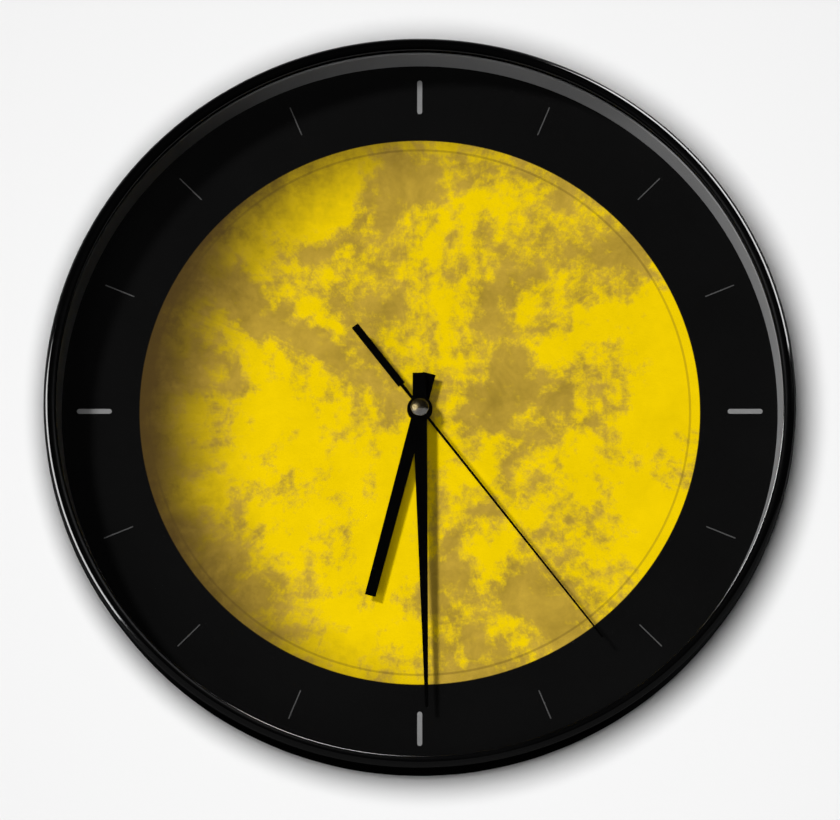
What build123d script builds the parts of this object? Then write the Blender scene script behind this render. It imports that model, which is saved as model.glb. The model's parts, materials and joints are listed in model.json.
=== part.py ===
from build123d import *

import os
from math import asin, atan2, cos, degrees, radians, sin

# Round wall clock with a printed dial and a quartz movement.
# The drawing frame looks at the dial: x to the right, y up, z from the wall towards the viewer.
# Each piece is stood upright when it is written: the dial then faces -Y, twelve o'clock is +Z,
# and the origin lies on the hand axis in the plane of the wall. All sizes are in millimetres.

# Case ring
case_diameter = 300.0
case_depth = 45.0
bead_width = 4.8
bead_radius = 2.6
bead_band = 5.0
bead_overhang = 1.6
flare_height = 3.0
skirt_edge = 1.2
skirt_tail = 1.3
glass_drop = 6.0
case_clearance = 0.3
snap_count = 8
snap_width = 14.0
snap_reach = 1.5
snap_ramp = 3.0
snap_gap = 0.1

# Glass, spacer and dial
lens_thickness = 2.0
lens_overlap = 1.0
spacer_height = 11.0
spacer_front_wall = 1.2
spacer_slope = 1.9
print_thickness = 0.25
print_margin = 0.2
plate_thickness = 2.25

# Dial marks
mark_count = 16
batons_per_turn = 4
mark_thickness = 0.15
baton_length = 14.0
baton_width = 2.0
baton_inset = 6.0
tick_length = 12.5
tick_width = 0.45
tick_inset = 6.8

# Skirt and ribs of the back plate
tray_wall = 2.0
tray_draft = 2.2
rib_count = 12
rib_thickness = 1.6
rib_height = 4.0
inner_rib_radius = 45.0

# Hanger bracket
hanger_inset = 40.0
bracket_sheet = 1.2
bracket_half = 14.0
bracket_foot = 9.0
bracket_length = 26.0
bracket_wall_gap = 1.2
bend_radius = 0.9
keyhole_radius = 4.5
keyhole_slot = 4.6
keyhole_rise = 9.0
pad_height = 3.0
screw_radius = 1.4
screw_head_radius = 2.8
screw_head_height = 1.6
screw_length = 4.0

# Movement housing
movement_size = 56.0
movement_depth = 16.0
movement_corner = 5.0
movement_wall = 1.3
movement_front = 1.5
cover_thickness = 1.2
bay_wall = 1.0
bush_radius = 3.9
bush_rise = 0.8
bush_clearance = 0.15
arm_width = 6.0
arm_thickness = 1.6
arm_spread = 14.0
arm_gap = 0.2
hook_reach = 1.2
hook_height = 1.6

# Battery, an AA cell, and its contacts
battery_radius = 7.1
battery_length = 49.2
battery_nub_radius = 2.7
battery_nub_length = 1.3
battery_gap = 0.3
battery_end_gap = 1.45
contact_sheet = 0.4
contact_gap = 0.1
contact_width = 9.0

# Tooth counts: "teeth" on wheels, "leaves" on the small pinions
rotor_leaves = 12
intermediate_teeth = 60
intermediate_leaves = 8
seconds_teeth = 48
seconds_leaves = 8
third_teeth = 64
third_leaves = 8
centre_teeth = 60
cannon_leaves = 12
motion_teeth = 36
motion_leaves = 10
hour_teeth = 40

# Tooth form, as shares of the module and of the tooth pitch
addendum = 0.85
dedendum = 1.15
tip_share = 0.085
wheel_root_share = 0.25
leaf_root_share = 0.20

# Modules that drive the train, and where each arbor lies about the one that it meets
rotor_module = 0.20
centre_module = 0.25
third_bearing = 30.0
intermediate_bearing = 120.0
rotor_bearing = 150.0
motion_bearing = 190.0

# Arbors and fits
running_fit = 0.05
push_fit = 0.02
second_arbor_radius = 0.5
minute_pipe_wall = 1.0
hour_pipe_wall = 0.95
pivot_radius = 0.4
pivot_depth = 0.8
arbor_radius = 0.5
stem_radius = 0.9
arbor_clearance = 0.4
boss_wall = 0.9

# Levels of the train
wheel_thickness = 0.8
leaf_overhang = 0.25
level_gap = 0.55
mid_plate_thickness = 1.0
mid_plate_margin = 2.4
mid_plate_right = 17.5
mid_plate_left = 15.5
mid_plate_top = 15.0
mid_plate_bottom = 9.6
pillar_radius = 1.5
peg_radius = 0.8

# Setting knob
knob_radius = 5.0
knob_length = 3.4
knob_gap = 0.4
knob_flutes = 18
knob_flute_depth = 0.5

# Stepping motor
magnet_radius = 2.0
magnet_length = 2.4
stator_thickness = 1.0
stator_air_gap = 0.5
stator_ring_width = 1.9
stator_arm_width = 4.0
stator_elbow_rise = 3.0
coil_line = 21.0
coil_left = -21.5
coil_right = -1.5
core_width = 3.0
coil_length = 14.0
coil_radius = 3.7
bobbin_wall = 0.6
bobbin_flange_radius = 4.2
bobbin_flange = 0.8
motor_post_radius = 2.0
motor_screw_radius = 0.7
motor_screw_head_radius = 1.5
motor_screw_head_height = 0.8
motor_screw_length = 4.5

# Circuit
board_left = 3.5
board_width = 18.0
board_bottom = 16.5
board_length = 9.0
board_thickness = 0.8
board_post_radius = 1.2
chip_radius = 2.6
chip_height = 0.9
crystal_radius = 1.0
crystal_length = 6.0

# Hands, set to the time that the dial shows
hand_thickness = 0.5
hour_hand_lift = 3.0
hand_pitch = 1.8
hub_radius = 5.06
collet_wall = 1.0
collet_gap = 0.4
hour_angle = 194.5
hour_length = 78.9
hour_tip_width = 4.3
hour_tail = 15.3
hour_tail_width = 5.2
minute_angle = 178.7
minute_length = 122.5
minute_tip_width = 1.2
minute_root_width = 5.8
minute_tail = 14.7
minute_tail_width = 5.0
second_angle = 142.3
second_length = 119.0
second_tip_width = 0.7
second_root_width = 1.0
second_hub_radius = 2.8
second_neck_width = 1.4
second_weight_start = 11.8
second_weight_end = 42.5
second_weight_width = 3.1
cap_radius = 3.65
cap_height = 1.9
cap_edge = 0.6

# Radii of the case, from the outside in
bead_r = case_diameter / 2
skirt_r = bead_r - bead_overhang
lip_r = bead_r - bead_width
lens_r = lip_r + lens_overlap
pocket_r = lens_r + case_clearance
tray_r = pocket_r - snap_reach - case_clearance
dial_r = lens_r - spacer_front_wall - spacer_slope
hanger_height = bead_r - hanger_inset

# Heights of the case stack, from the front back to the wall
lens_front = case_depth - glass_drop
lens_back = lens_front - lens_thickness
dial_front = lens_back - spacer_height
plate_front = dial_front - print_thickness
plate_back = plate_front - plate_thickness
train_front = plate_back - movement_front
movement_back = plate_back - movement_depth
cover_front = movement_back + cover_thickness

# Heights of the hands
hour_hand_z = dial_front + hour_hand_lift
minute_hand_z = hour_hand_z + hand_pitch
second_hand_z = minute_hand_z + hand_pitch
cap_z = second_hand_z + hand_thickness
bush_front = dial_front + bush_rise

# Heights of the wheels, from the front back; each is the rear face of its wheel
hour_wheel_z = train_front - level_gap - wheel_thickness
motion_wheel_z = hour_wheel_z - level_gap - leaf_overhang - wheel_thickness
mid_plate_front = motion_wheel_z - leaf_overhang - level_gap
mid_plate_back = mid_plate_front - mid_plate_thickness
centre_wheel_z = mid_plate_back - level_gap - wheel_thickness
intermediate_wheel_z = centre_wheel_z - level_gap - leaf_overhang - wheel_thickness
third_wheel_z = intermediate_wheel_z - level_gap - wheel_thickness
seconds_wheel_z = third_wheel_z - level_gap - leaf_overhang - wheel_thickness
boss_front = seconds_wheel_z - leaf_overhang - level_gap
minute_pipe_back = centre_wheel_z - leaf_overhang
magnet_front = intermediate_wheel_z - leaf_overhang - leaf_overhang
stator_back = magnet_front - (magnet_length + stator_thickness) / 2
core_back = stator_back + stator_thickness
core_front = core_back + stator_thickness

# Radii of the nested pipes on the hand axis
minute_bore_r = second_arbor_radius + running_fit
minute_pipe_r = second_arbor_radius + minute_pipe_wall
hour_bore_r = minute_pipe_r + running_fit
hour_pipe_r = minute_pipe_r + hour_pipe_wall
bush_bore_r = hour_pipe_r + running_fit

# Faces of the circuit board, level with the motor's core
board_front = core_front
board_back = board_front - board_thickness


def tip_radius(teeth, module):
    """Outside radius of a toothed wheel."""
    return teeth * module / 2 + addendum * module


def around(centre, reach, bearing):
    """The point at a distance and an anticlockwise bearing from another."""
    angle = radians(bearing)
    return (centre[0] + reach * cos(angle), centre[1] + reach * sin(angle))


# Centre distances: the other arbors pass clear of the centre wheel, and wheels that share
# two arbors take their module from the distance between them
centre_tip_r = tip_radius(centre_teeth, centre_module)
rotor_reach = (rotor_leaves + intermediate_teeth) * rotor_module / 2
third_reach = (third_leaves + centre_teeth) * centre_module / 2
third_module = 2 * third_reach / (seconds_leaves + third_teeth)
intermediate_reach = centre_tip_r + arbor_radius + arbor_clearance
seconds_module = 2 * intermediate_reach / (intermediate_leaves + seconds_teeth)
motion_reach = centre_tip_r + stem_radius + arbor_clearance
motion_module = 2 * motion_reach / (cannon_leaves + motion_teeth)
hour_module = 2 * motion_reach / (motion_leaves + hour_teeth)

# Places of the arbors
hand_axis = (0.0, 0.0)
third_axis = around(hand_axis, third_reach, third_bearing)
intermediate_axis = around(hand_axis, intermediate_reach, intermediate_bearing)
rotor_axis = around(intermediate_axis, rotor_reach, rotor_bearing)
motion_axis = around(hand_axis, motion_reach, motion_bearing)

# Battery bay, at the foot of the movement
movement_half = movement_size / 2
inner_half = movement_half - movement_wall
battery_y = -inner_half + battery_gap + battery_radius
battery_z = train_front - battery_gap - battery_radius
bay_top = battery_y + battery_radius + battery_gap
train_bottom = bay_top + bay_wall
bay_half = (battery_length + battery_nub_length) / 2 + battery_end_gap


def disc(radius, bottom, top, at=(0.0, 0.0)):
    """A round solid between two heights."""
    return Pos(at[0], at[1], bottom) * extrude(Circle(radius), top - bottom)


def ring(outer, inner, bottom, top, at=(0.0, 0.0)):
    """A plain tube between two heights."""
    return Pos(at[0], at[1], bottom) * extrude(Circle(outer) - Circle(inner), top - bottom)


def block(x_low, x_high, y_low, y_high, z_low, z_high):
    """A box given by its faces."""
    size = (x_high - x_low, y_high - y_low, z_high - z_low)
    middle = ((x_low + x_high) / 2, (y_low + y_high) / 2, (z_low + z_high) / 2)
    return Pos(*middle) * Box(*size)


def turned(edges, arc=360):
    """Revolve a closed section, drawn as radius and height, about the hand axis."""
    return revolve(Plane.XZ * make_face(edges), Axis.Z, revolution_arc=arc)


def dome_arc(radius, base, rise):
    """Section of a shallow dome on the hand axis, from its rim to its crown."""
    sphere_r = (radius ** 2 + rise ** 2) / (2 * abs(rise))
    half_angle = asin(radius / sphere_r) / 2
    drop = sphere_r * (1 - cos(half_angle))
    middle = base + rise - (drop if rise > 0 else -drop)
    return ThreePointArc((radius, base), (sphere_r * sin(half_angle), middle), (0, base + rise))


def around_dial(solid, clockwise):
    """Turn a piece that points to twelve by a clockwise angle."""
    return Rot(0, 0, -clockwise) * solid


def toothed(teeth, module, root_share, bottom, top, first=0.0):
    """A toothed disc with straight-flanked clock teeth, one of them at the bearing first."""
    pitch = 360 / teeth
    tip_r = tip_radius(teeth, module)
    root_r = teeth * module / 2 - dedendum * module
    corners = ((root_r, -root_share), (tip_r, -tip_share), (tip_r, tip_share), (root_r, root_share))
    points = []
    for tooth in range(teeth):
        for radius, share in corners:
            points.append(around((0, 0), radius, first + (tooth + share) * pitch))
    outline = make_face(Polyline(*points, close=True))
    return Pos(0, 0, bottom) * extrude(outline, top - bottom)


def wheel(teeth, module, bottom, first=0.0):
    """A toothed wheel of the train, from its rear face."""
    return toothed(teeth, module, wheel_root_share, bottom, bottom + wheel_thickness, first)


def leaves(teeth, module, bottom, first=0.0):
    """The leaves of a pinion, a little longer than the wheel that they meet."""
    top = bottom + wheel_thickness + leaf_overhang
    return toothed(teeth, module, leaf_root_share, bottom - leaf_overhang, top, first)


def meshed(bearing, own_teeth, other_teeth, other_first=0.0):
    """Bearing of a wheel's first tooth so that it meets the gap of the wheel it lies beside.

    The wheel lies at the bearing from the other, whose first tooth is at other_first.
    """
    share = (bearing - other_first) * other_teeth / 360
    return bearing + 180 - (0.5 - share) * 360 / own_teeth


def case_rim():
    """Moulded front ring: skirt, flare and rounded bead outside, lip and snap lugs inside."""
    band_front = case_depth - bead_radius
    band_back = band_front - bead_band
    brow_radius = bead_width - bead_radius
    brow_back = case_depth - brow_radius
    outer_bend = bead_radius * sin(radians(45))
    inner_bend = brow_radius * sin(radians(45))
    lug_front = plate_back - snap_gap
    lug_back = lug_front - snap_ramp
    skirt_back = lug_back - skirt_tail
    outside = Polyline((pocket_r, skirt_back), (pocket_r + skirt_edge, skirt_back),
                       (skirt_r, band_back - flare_height), (bead_r, band_back), (bead_r, band_front))
    crest_r = bead_r - bead_radius
    crown = ThreePointArc((bead_r, band_front), (crest_r + outer_bend, band_front + outer_bend),
                          (crest_r, case_depth))
    brow = ThreePointArc((crest_r, case_depth), (crest_r - inner_bend, brow_back + inner_bend),
                         (lip_r, brow_back))
    inside = Polyline((lip_r, brow_back), (lip_r, lens_front), (pocket_r, lens_front),
                      (pocket_r, skirt_back))
    rim = turned(outside + crown + brow + inside)
    lug = Polyline((pocket_r + snap_gap, lug_front), (pocket_r - snap_reach, lug_front),
                   (pocket_r + snap_gap, lug_back), close=True)
    lug_arc = degrees(snap_width / pocket_r)
    for step in range(snap_count):
        rim += Rot(0, 0, (step + 0.5) * 360 / snap_count - lug_arc / 2) * turned(lug, lug_arc)
    return rim


def lens():
    """Flat glass, seated against the lip."""
    return disc(lens_r, lens_back, lens_front)


def spacer_ring():
    """Sloping ring that holds the glass off the dial."""
    section = Polyline((lens_r, dial_front), (lens_r, lens_back), (lens_r - spacer_front_wall, lens_back),
                       (dial_r, dial_front), close=True)
    return turned(section)


def dial_print():
    """Printed paper dial."""
    hole = bush_radius + bush_clearance
    return ring(lens_r - print_margin, hole, plate_front, dial_front)


def dial_marks(batons):
    """The wide quarter batons, or the thin ticks between them."""
    every = mark_count // batons_per_turn
    marks = []
    for mark in range(mark_count):
        if (mark % every == 0) != batons:
            continue
        if batons:
            middle = dial_r - baton_inset - baton_length / 2
            shape = SlotOverall(baton_length, baton_width, rotation=90)
        else:
            middle = dial_r - tick_inset - tick_length / 2
            shape = Rectangle(tick_width, tick_length)
        solid = extrude(Pos(0, middle, dial_front) * shape, mark_thickness)
        marks.append(around_dial(solid, mark * 360 / mark_count))
    return Compound(children=marks)


def spring_arm(side, y):
    """One arm of the back plate, hooked over the rear edge of the movement."""
    inner = movement_half + arm_gap
    hook_front = movement_back - arm_gap
    hook_back = hook_front - hook_height
    section = make_face(Polyline((inner, plate_back), (inner + arm_thickness, plate_back),
                                 (inner + arm_thickness, hook_back + hook_reach), (inner, hook_back),
                                 (inner - hook_reach, hook_front), (inner, hook_front), close=True))
    arm = extrude(Plane.XZ * section, arm_width / 2, both=True)
    if side < 0:
        arm = mirror(arm, Plane.YZ)
    return Pos(0, y, 0) * arm


def bracket_pads():
    """Middle of each foot of the hanger bracket."""
    reach = bracket_half + bracket_foot / 2
    return [(-reach, hanger_height), (reach, hanger_height)]


def back_plate():
    """Moulded back: dial seat in front, skirt down to the wall, ribs, spring arms and pads behind."""
    foot_r = tray_r - tray_draft
    rib_back = plate_back - rib_height
    plate = disc(lens_r, plate_back, plate_front)
    plate += turned(Polyline((tray_r, plate_back), (foot_r, 0), (foot_r - tray_wall, 0),
                             (tray_r - tray_wall, plate_back), close=True))
    plate += ring(inner_rib_radius, inner_rib_radius - rib_thickness, rib_back, plate_back)
    inner = inner_rib_radius - rib_thickness / 2
    outer = tray_r - tray_wall / 2 - tray_draft * rib_height / plate_back
    rib = block(-rib_thickness / 2, rib_thickness / 2, inner, outer, rib_back, plate_back)
    for step in range(rib_count):
        plate += around_dial(rib, (step + 0.5) * 360 / rib_count)
    for y in (-arm_spread, arm_spread):
        plate += spring_arm(1, y)
        plate += spring_arm(-1, y)
    pad_back = plate_back - pad_height
    for x, y in bracket_pads():
        plate += block(x - bracket_foot / 2, x + bracket_foot / 2, y - bracket_length / 2,
                       y + bracket_length / 2, pad_back, plate_back)
        screw_end = pad_back + screw_length - bracket_sheet
        plate -= disc(screw_radius, pad_back, screw_end + case_clearance, (x, y))
    return plate - disc(bush_radius + bush_clearance, plate_back, plate_front)


def hanger_bracket():
    """Bent steel strap with a keyhole for the nail in the wall."""
    foot_front = plate_back - pad_height
    foot_back = foot_front - bracket_sheet
    back = bracket_wall_gap
    inner = bracket_half - bracket_sheet
    reach = bracket_half + bracket_foot
    hole_front = back + bracket_sheet
    half = [(0, back), (bracket_half, back), (bracket_half, foot_back), (reach, foot_back),
            (reach, foot_front), (inner, foot_front), (inner, hole_front), (0, hole_front)]
    section = make_face(Polyline(*half, close=True))
    bends = section.vertices().filter_by(lambda v: inner / 2 < v.X < reach - bracket_sheet)
    section = fillet(bends, bend_radius)
    strap = extrude(Plane.XZ * section, bracket_length / 2, both=True)
    strap += mirror(strap, Plane.YZ)
    strap = Pos(0, hanger_height, 0) * strap
    entry_y = hanger_height - keyhole_rise / 2
    strap -= disc(keyhole_radius, back, hole_front, (0, entry_y))
    strap -= disc(keyhole_slot / 2, back, hole_front, (0, entry_y + keyhole_rise))
    strap -= block(-keyhole_slot / 2, keyhole_slot / 2, entry_y, entry_y + keyhole_rise, back, hole_front)
    for at in bracket_pads():
        strap -= disc(screw_radius + push_fit, foot_back, foot_front, at)
    return strap


def pan_screw(radius, head_radius, head_height, length, seat, at):
    """A screw driven forward from the rear, with a domed head behind its seat."""
    dome = dome_arc(head_radius, 0, -head_height)
    shank = Polyline((0, -head_height), (0, length), (radius, length), (radius, 0), (head_radius, 0))
    return Pos(at[0], at[1], seat) * turned(dome + shank)


def hanger_screws():
    """The two screws that hold the hanger bracket to the plate."""
    seat = plate_back - pad_height - bracket_sheet
    screws = []
    for at in bracket_pads():
        screws.append(pan_screw(screw_radius, screw_head_radius, screw_head_height, screw_length, seat, at))
    return Compound(children=screws)


def pivot_hole(at, face, inward):
    """Blind bearing hole for a pivot, sunk from a face along z."""
    depth = (pivot_depth + running_fit) * inward
    low, high = sorted((face, face + depth))
    return disc(pivot_radius + running_fit, low, high, at)


def pillar_places():
    """The three pillars of the mid plate, inset from its corners."""
    right = mid_plate_right - mid_plate_margin
    left = mid_plate_margin - mid_plate_left
    top = mid_plate_top - mid_plate_margin
    bottom = mid_plate_margin - mid_plate_bottom
    return [(right, bottom), (right, top), (left, top)]


def motor_posts():
    """Where the two ends of the motor's core are screwed down."""
    return [(coil_left, coil_line), (coil_right, coil_line)]


def board_posts():
    """The two posts under the circuit board."""
    y = board_bottom + board_length / 2
    inset = board_post_radius + bay_wall
    return [(board_left + inset, y), (board_left + board_width - inset, y)]


def movement_base():
    """Front half of the housing: walls, battery bay, bush and the posts of the train."""
    outline = RectangleRounded(movement_size, movement_size, movement_corner)
    base = Pos(0, 0, movement_back) * extrude(outline, movement_depth)
    base -= block(-inner_half, inner_half, train_bottom, inner_half, movement_back, train_front)
    base -= block(-bay_half, bay_half, -inner_half, bay_top, movement_back, train_front)
    base -= block(-movement_half, movement_half, bay_top, movement_half, movement_back, cover_front)
    base += disc(bush_radius, plate_back, bush_front)
    for at in pillar_places():
        base += disc(pillar_radius, mid_plate_front, train_front, at)
        base += disc(peg_radius, mid_plate_back, mid_plate_front, at)
    for at in motor_posts():
        base += disc(motor_post_radius, core_front, train_front, at)
        base -= disc(motor_screw_radius + push_fit, core_front, stator_back + motor_screw_length, at)
    for at in board_posts():
        base += disc(board_post_radius, board_front, train_front, at)
    base -= pivot_hole(motion_axis, train_front, 1)
    return base - disc(bush_bore_r, train_front, bush_front)


def mid_plate():
    """Bearing plate between the going train and the motion work."""
    plate = block(-mid_plate_left, mid_plate_right, -mid_plate_bottom, mid_plate_top,
                  mid_plate_back, mid_plate_front)
    plate = fillet(plate.edges().filter_by(Axis.Z), mid_plate_margin)
    for at in pillar_places():
        plate -= disc(peg_radius + push_fit, mid_plate_back, mid_plate_front, at)
    for at in (third_axis, intermediate_axis, rotor_axis):
        plate -= pivot_hole(at, mid_plate_back, 1)
    plate -= disc(stem_radius + running_fit, mid_plate_back, mid_plate_front, motion_axis)
    return plate - disc(minute_pipe_r + running_fit, mid_plate_back, mid_plate_front)


def movement_cover():
    """Rear lid of the housing, with a bearing boss for each arbor of the going train."""
    outline = RectangleRounded(movement_size, movement_size, movement_corner)
    lid = Pos(0, 0, movement_back) * extrude(outline, cover_thickness)
    lid -= block(-movement_half, movement_half, -movement_half, bay_top, movement_back, cover_front)
    for at in (hand_axis, third_axis, intermediate_axis, rotor_axis):
        lid += disc(pivot_radius + boss_wall, cover_front, boss_front, at)
    for at in (third_axis, intermediate_axis, rotor_axis):
        lid -= pivot_hole(at, boss_front, -1)
    lid -= disc(second_arbor_radius + running_fit, boss_front - pivot_depth - running_fit, boss_front)
    return lid - disc(stem_radius + running_fit, movement_back, cover_front, motion_axis)


def battery():
    """AA cell lying across the bay, with its button end to the right."""
    rear = -(battery_length + battery_nub_length) / 2
    cell = Plane.YZ * extrude(Circle(battery_radius), battery_length)
    nub = Plane.YZ * extrude(Circle(battery_nub_radius), battery_length + battery_nub_length)
    return Pos(rear, battery_y, battery_z) * (cell + nub)


def contact_positive():
    """Flat leaf at the right end of the bay, dimpled to the button of the cell."""
    half = contact_width / 2
    wall = bay_half
    leaf = block(wall - contact_sheet, wall, battery_y - half, battery_y + half,
                 battery_z - half, battery_z + half)
    dimple = battery_end_gap - contact_sheet - contact_gap
    cone = Cone(battery_nub_radius, battery_nub_radius / 2, dimple)
    return leaf + Pos(wall - contact_sheet - dimple / 2, battery_y, battery_z) * (Rot(0, -90, 0) * cone)


def contact_negative():
    """Bowed leaf spring at the left end of the bay, pressed to the base of the cell."""
    half = contact_width / 2
    bow = battery_end_gap - contact_gap
    wall = -bay_half
    outer = ThreePointArc((wall, -half), (wall + bow, 0), (wall, half))
    inner = ThreePointArc((wall, contact_sheet - half), (wall + bow - contact_sheet, 0),
                          (wall, half - contact_sheet))
    ends = Line((wall, -half), (wall, contact_sheet - half))
    ends += Line((wall, half), (wall, half - contact_sheet))
    leaf = extrude(make_face(outer + inner + ends), half, both=True)
    return Pos(0, battery_y, battery_z) * leaf


def circuit_board():
    """Board of the timing circuit, on its two posts."""
    return block(board_left, board_left + board_width, board_bottom, board_bottom + board_length,
                 board_back, board_front)


def chip_blob():
    """Potted chip, a low dome on the rear of the board."""
    dome = dome_arc(chip_radius, 0, -chip_height)
    foot = Polyline((0, -chip_height), (0, 0), (chip_radius, 0))
    x = board_left + board_width / 3
    return Pos(x, board_bottom + board_length / 2, board_back) * turned(dome + foot)


def quartz_crystal():
    """Small can with the quartz, lying on the rear of the board."""
    can = Plane.YZ * extrude(Circle(crystal_radius), crystal_length)
    x = board_left + board_width / 2 + crystal_radius
    return Pos(x, board_bottom + board_length / 2, board_back - crystal_radius) * can


def strip(start, end, width):
    """Flat bar with round ends between two points."""
    middle = ((start[0] + end[0]) / 2, (start[1] + end[1]) / 2)
    line = Vector(end[0] - start[0], end[1] - start[1])
    bearing = degrees(atan2(line.Y, line.X))
    return Pos(*middle) * SlotCenterToCenter(line.length, width, rotation=bearing)


def stator():
    """Motor lamination: a ring about the rotor with a bent arm to each end of the core."""
    hole_r = magnet_radius + stator_air_gap
    plate = Pos(*rotor_axis) * Circle(hole_r + stator_ring_width)
    for post in motor_posts():
        elbow = (post[0], rotor_axis[1] + stator_elbow_rise)
        plate += strip(rotor_axis, elbow, stator_arm_width)
        plate += strip(elbow, post, stator_arm_width)
    plate -= Pos(*rotor_axis) * Circle(hole_r)
    for post in motor_posts():
        plate -= Pos(*post) * Circle(motor_screw_radius + push_fit)
    return Pos(0, 0, stator_back) * extrude(plate, stator_thickness)


def coil_core():
    """Iron strip through the coil, laid on the ends of the stator."""
    left, right = motor_posts()
    bar = strip(left, right, core_width)
    for post in motor_posts():
        bar += Pos(*post) * Circle(stator_arm_width / 2)
    for post in motor_posts():
        bar -= Pos(*post) * Circle(motor_screw_radius + push_fit)
    return Pos(0, 0, core_back) * extrude(bar, stator_thickness)


def coil_frame():
    """Middle of the coil and the half sizes of the bobbin's tube."""
    middle = ((coil_left + coil_right) / 2, coil_line, (core_back + core_front) / 2)
    bore = (core_width / 2 + push_fit, stator_thickness / 2 + push_fit)
    return middle, bore


def along_coil(sketch, length):
    """Extrude a section both ways along the coil's line, from its middle."""
    middle, _ = coil_frame()
    return Pos(*middle) * extrude(Plane.YZ * sketch, length / 2, both=True)


def coil_bobbin():
    """Moulded spool on the core: a square tube between two round cheeks."""
    middle, bore = coil_frame()
    hole = Rectangle(2 * bore[0], 2 * bore[1])
    tube = Rectangle(2 * (bore[0] + bobbin_wall), 2 * (bore[1] + bobbin_wall)) - hole
    spool = along_coil(tube, coil_length)
    cheek = extrude(Plane.YZ * (Circle(bobbin_flange_radius) - hole), bobbin_flange)
    half = coil_length / 2
    spool += Pos(middle[0] - half, middle[1], middle[2]) * cheek
    spool += Pos(middle[0] + half - bobbin_flange, middle[1], middle[2]) * cheek
    return spool


def coil_winding():
    """Winding of fine wire, filling the spool between its cheeks."""
    _, bore = coil_frame()
    hole = Rectangle(2 * (bore[0] + bobbin_wall + push_fit), 2 * (bore[1] + bobbin_wall + push_fit))
    return along_coil(Circle(coil_radius) - hole, coil_length - 2 * (bobbin_flange + push_fit))


def motor_screws():
    """The two screws through the stator and core into their posts."""
    screws = []
    for at in motor_posts():
        screws.append(pan_screw(motor_screw_radius, motor_screw_head_radius, motor_screw_head_height,
                                motor_screw_length, stator_back, at))
    return Compound(children=screws)


def arbor(at, back, front):
    """Plain arbor between two plates, with a thinner pivot at each end."""
    rod = disc(arbor_radius, back + level_gap / 2, front - level_gap / 2, at)
    return rod + disc(pivot_radius, back - pivot_depth, front + pivot_depth, at)


def going_arbor(at):
    """Arbor from the cover's boss to the mid plate."""
    return arbor(at, boss_front, mid_plate_back)


def rotor_magnet():
    """Round magnet of the motor, pushed on the rotor's arbor."""
    magnet_back = magnet_front - magnet_length
    return ring(magnet_radius, arbor_radius + push_fit, magnet_back, magnet_front, rotor_axis)


def rotor_pinion():
    """Rotor arbor and its leaves."""
    first = meshed(rotor_bearing, rotor_leaves, intermediate_teeth, intermediate_first())
    teeth = leaves(rotor_leaves, rotor_module, intermediate_wheel_z, first)
    return Pos(*rotor_axis) * teeth + going_arbor(rotor_axis)


def intermediate_first():
    """Bearing of the intermediate wheel's first tooth and leaf, in mesh with the seconds wheel."""
    return meshed(intermediate_bearing, intermediate_leaves, seconds_teeth)


def intermediate_wheel():
    """Wheel turned by the rotor, with the leaves that turn the seconds wheel."""
    first = intermediate_first()
    teeth = wheel(intermediate_teeth, rotor_module, intermediate_wheel_z, first)
    teeth += leaves(intermediate_leaves, seconds_module, seconds_wheel_z, first)
    return Pos(*intermediate_axis) * teeth + going_arbor(intermediate_axis)


def second_arbor():
    """Long steel arbor from the cover to the second hand."""
    return disc(second_arbor_radius, boss_front - pivot_depth, cap_z)


def seconds_wheel():
    """Wheel and leaves pushed on the second hand's arbor."""
    body = wheel(seconds_teeth, seconds_module, seconds_wheel_z)
    body += leaves(seconds_leaves, third_module, third_wheel_z)
    collar_r = seconds_leaves * third_module / 2 - dedendum * third_module
    body += disc(collar_r, seconds_wheel_z, third_wheel_z)
    return body - disc(second_arbor_radius + push_fit, seconds_wheel_z, intermediate_wheel_z)


def third_first():
    """Bearing of the third wheel's first tooth, in mesh with the leaves of the seconds wheel."""
    return meshed(third_bearing, third_teeth, seconds_leaves)


def third_wheel():
    """Wheel turned by the seconds leaves, with the leaves that turn the centre wheel."""
    first = third_first()
    teeth = wheel(third_teeth, third_module, third_wheel_z, first)
    teeth += leaves(third_leaves, centre_module, centre_wheel_z, first)
    return Pos(*third_axis) * teeth + going_arbor(third_axis)


def centre_wheel():
    """Wheel that grips the minute pipe and slips on it when the hands are set."""
    first = meshed(third_bearing + 180, centre_teeth, third_leaves, third_first())
    top = centre_wheel_z + wheel_thickness + leaf_overhang
    body = wheel(centre_teeth, centre_module, centre_wheel_z, first)
    body += disc(minute_pipe_r + boss_wall, centre_wheel_z, top)
    return body - disc(minute_pipe_r + running_fit, centre_wheel_z, top)


def minute_pipe():
    """Pipe of the minute hand with the cannon leaves that turn the motion wheel."""
    pipe = disc(minute_pipe_r, minute_pipe_back, minute_hand_z + hand_thickness)
    pipe += leaves(cannon_leaves, motion_module, motion_wheel_z)
    return pipe - disc(minute_bore_r, minute_pipe_back, minute_hand_z + hand_thickness)


def motion_first():
    """Bearing of the motion wheel's first tooth and leaf, in mesh with the cannon leaves."""
    return meshed(motion_bearing, motion_teeth, cannon_leaves)


def motion_wheel():
    """Wheel between the minute pipe and the hour wheel, on the stem of the setting knob."""
    first = motion_first()
    body = wheel(motion_teeth, motion_module, motion_wheel_z, first)
    leaf_top = hour_wheel_z + wheel_thickness + leaf_overhang
    body += toothed(motion_leaves, hour_module, leaf_root_share, motion_wheel_z, leaf_top, first)
    body = Pos(*motion_axis) * body
    body += disc(pivot_radius, leaf_top, train_front + pivot_depth, motion_axis)
    return body + disc(stem_radius, movement_back - knob_gap - knob_length / 2, motion_wheel_z, motion_axis)


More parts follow.
